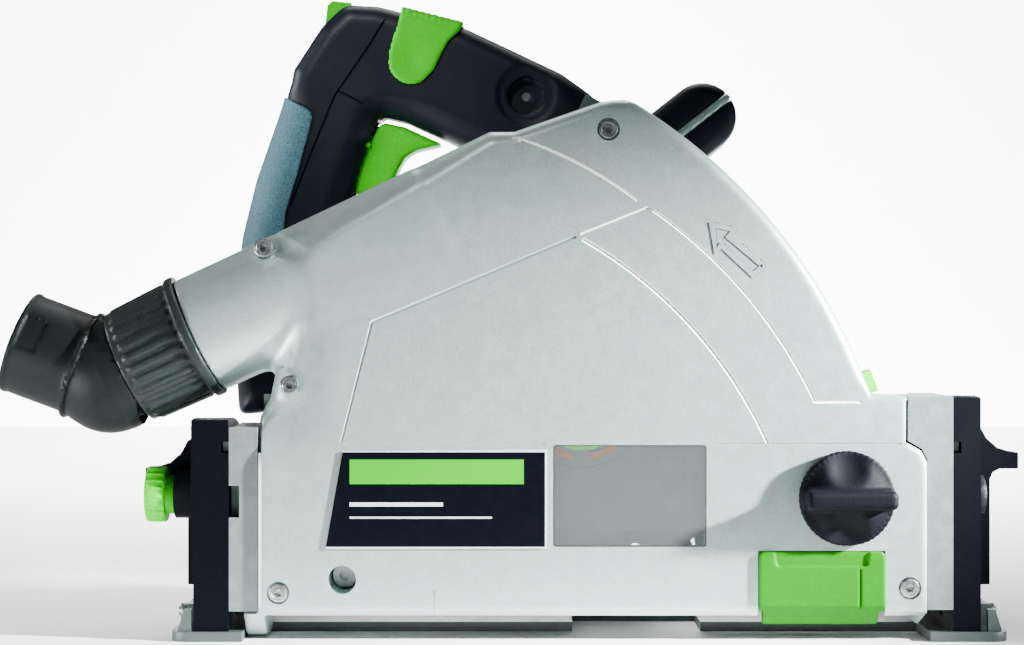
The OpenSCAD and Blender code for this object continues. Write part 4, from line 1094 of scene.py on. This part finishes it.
def splinter_field(x, y, z):
    """Block with a raised edge, two side notches and a thin slit, its foot cut at 45 degrees."""
    back = slab(plate_2d(x, z), y, FACE - 0.5, FACE + 4.5, 0.5)
    front = slab(guard_2d(x, z), y, FACE - 1.5, FACE + 2, 0.7)
    foot = boxed(x, y, z, (71, FACE + 3.5, 6.4), (118.2, FACE + 9.6, 14), 0.8)
    d = smin(smin(back, front, 0.3), foot, 0.5)
    for px in (69.4, 119.8):
        d = smax(d, -boxed(x, y, z, (px - 1.5, FACE - 3, 8.7), (px + 1.5, FACE + 6, 12.4), 0.3), 0.4)
    slit = boxed(x, y, z, (109.8, FACE - 3, 13.5), (110.6, FACE - 0.4, 30), 0.2)
    d = smax(d, -slit, 0.3)
    return smax(d, ((BLADE - y) - z) / math.sqrt(2), 0.5)


model("splinter_guard_block", splinter_field, (66.5, -83.5, 4.5), (122.5, -68.5, 39), 0.6,
      green_painted_shade, "green_plastic", "splinter", "splinter_guard")


# ---- Camera, floor and light ----

cam = bpy.data.cameras.new("camera")
cam.lens = 73.24
cam.sensor_width = 36
view = bpy.data.objects.new("camera", cam)
bpy.context.scene.collection.objects.link(view)
view.location = (-0.0318, -0.930, 0.1304)
view.rotation_euler = (math.radians(90), 0, 0)
bpy.context.scene.camera = view

me = bpy.data.meshes.new("floor")
me.from_pydata([(-3, -3, 0), (3, -3, 0), (3, 3, 0), (-3, 3, 0)], [], [(0, 1, 2, 3)])
floor = bpy.data.objects.new("floor", me)
bpy.context.scene.collection.objects.link(floor)
s = Shader("floor")
s.put("Base Color", s.mix(s.noise(3, 2), (0.93, 0.93, 0.93), (0.96, 0.96, 0.96)))
s.put("Roughness", 0.9)
me.materials.append(s.m)

world = bpy.data.worlds.new("studio")
bpy.context.scene.world = world
world.use_nodes = True
bg = world.node_tree.nodes["Background"]
bg.inputs[0].default_value = (0.95, 0.98, 1, 1)
bg.inputs[1].default_value = 0.06


def card(name, corners, strength):
    """A glowing white card in the studio, which is clear from behind."""
    me = bpy.data.meshes.new(name)
    me.from_pydata(corners, [], [(0, 1, 2, 3)])
    ob = bpy.data.objects.new(name, me)
    bpy.context.scene.collection.objects.link(ob)
    s = Shader(name)
    s.put("Base Color", (0.9, 0.9, 0.9, 1))
    s.put("Emission Color", (1, 1, 1, 1))
    s.put("Emission Strength", strength)
    behind = s.t.nodes.new("ShaderNodeNewGeometry").outputs["Backfacing"]
    s.put("Alpha", s.math("SUBTRACT", 1.0, behind))
    me.materials.append(s.m)


card("backdrop", [(-0.85, 1.7, 0), (0.80, 1.7, 0), (0.80, 1.7, 0.62), (-0.85, 1.7, 0.62)], 8.0)


def hang(light, at, to):
    """Puts a light in the studio, shining from one place towards another."""
    ob = bpy.data.objects.new(light.name, light)
    bpy.context.scene.collection.objects.link(ob)
    ob.location = at
    ob.rotation_euler = (Vector(to) - Vector(at)).to_track_quat("-Z", "Y").to_euler()


def area(name, at, to, size, power):
    """A soft rectangular light."""
    li = bpy.data.lights.new(name, "AREA")
    li.shape = "RECTANGLE"
    li.size, li.size_y = size
    li.energy = power
    hang(li, at, to)


area("low_left", (-0.48, -0.26, 0.02), (-0.05, -0.08, 0.05), (0.25, 0.03), 2.6)
area("side_left", (-0.85, -0.02, 0.4), (-0.05, 0.0, 0.15), (0.3, 0.3), 6.0)
area("top", (0.0, 0.25, 0.9), (0, 0, 0.15), (0.7, 0.25), 3)


def spot(name, at, to, cone, power, soft):
    """A round light whose beam fades out towards its rim."""
    li = bpy.data.lights.new(name, "SPOT")
    li.energy = power
    li.spot_size = math.radians(cone)
    li.spot_blend = 1.0
    li.shadow_soft_size = soft
    hang(li, at, to)


spot("key", (0.62, -0.25, 0.27), (0.0, -0.08, 0.065), 27, 330, 0.02)
spot("handle_spot", (-0.35, -0.85, 0.85), (-0.085, -0.02, 0.252), 10.5, 34, 0.05)
spot("floor_back", (0, 1.1, 1.5), (0, 1.1, 0), 84, 750, 0.2)
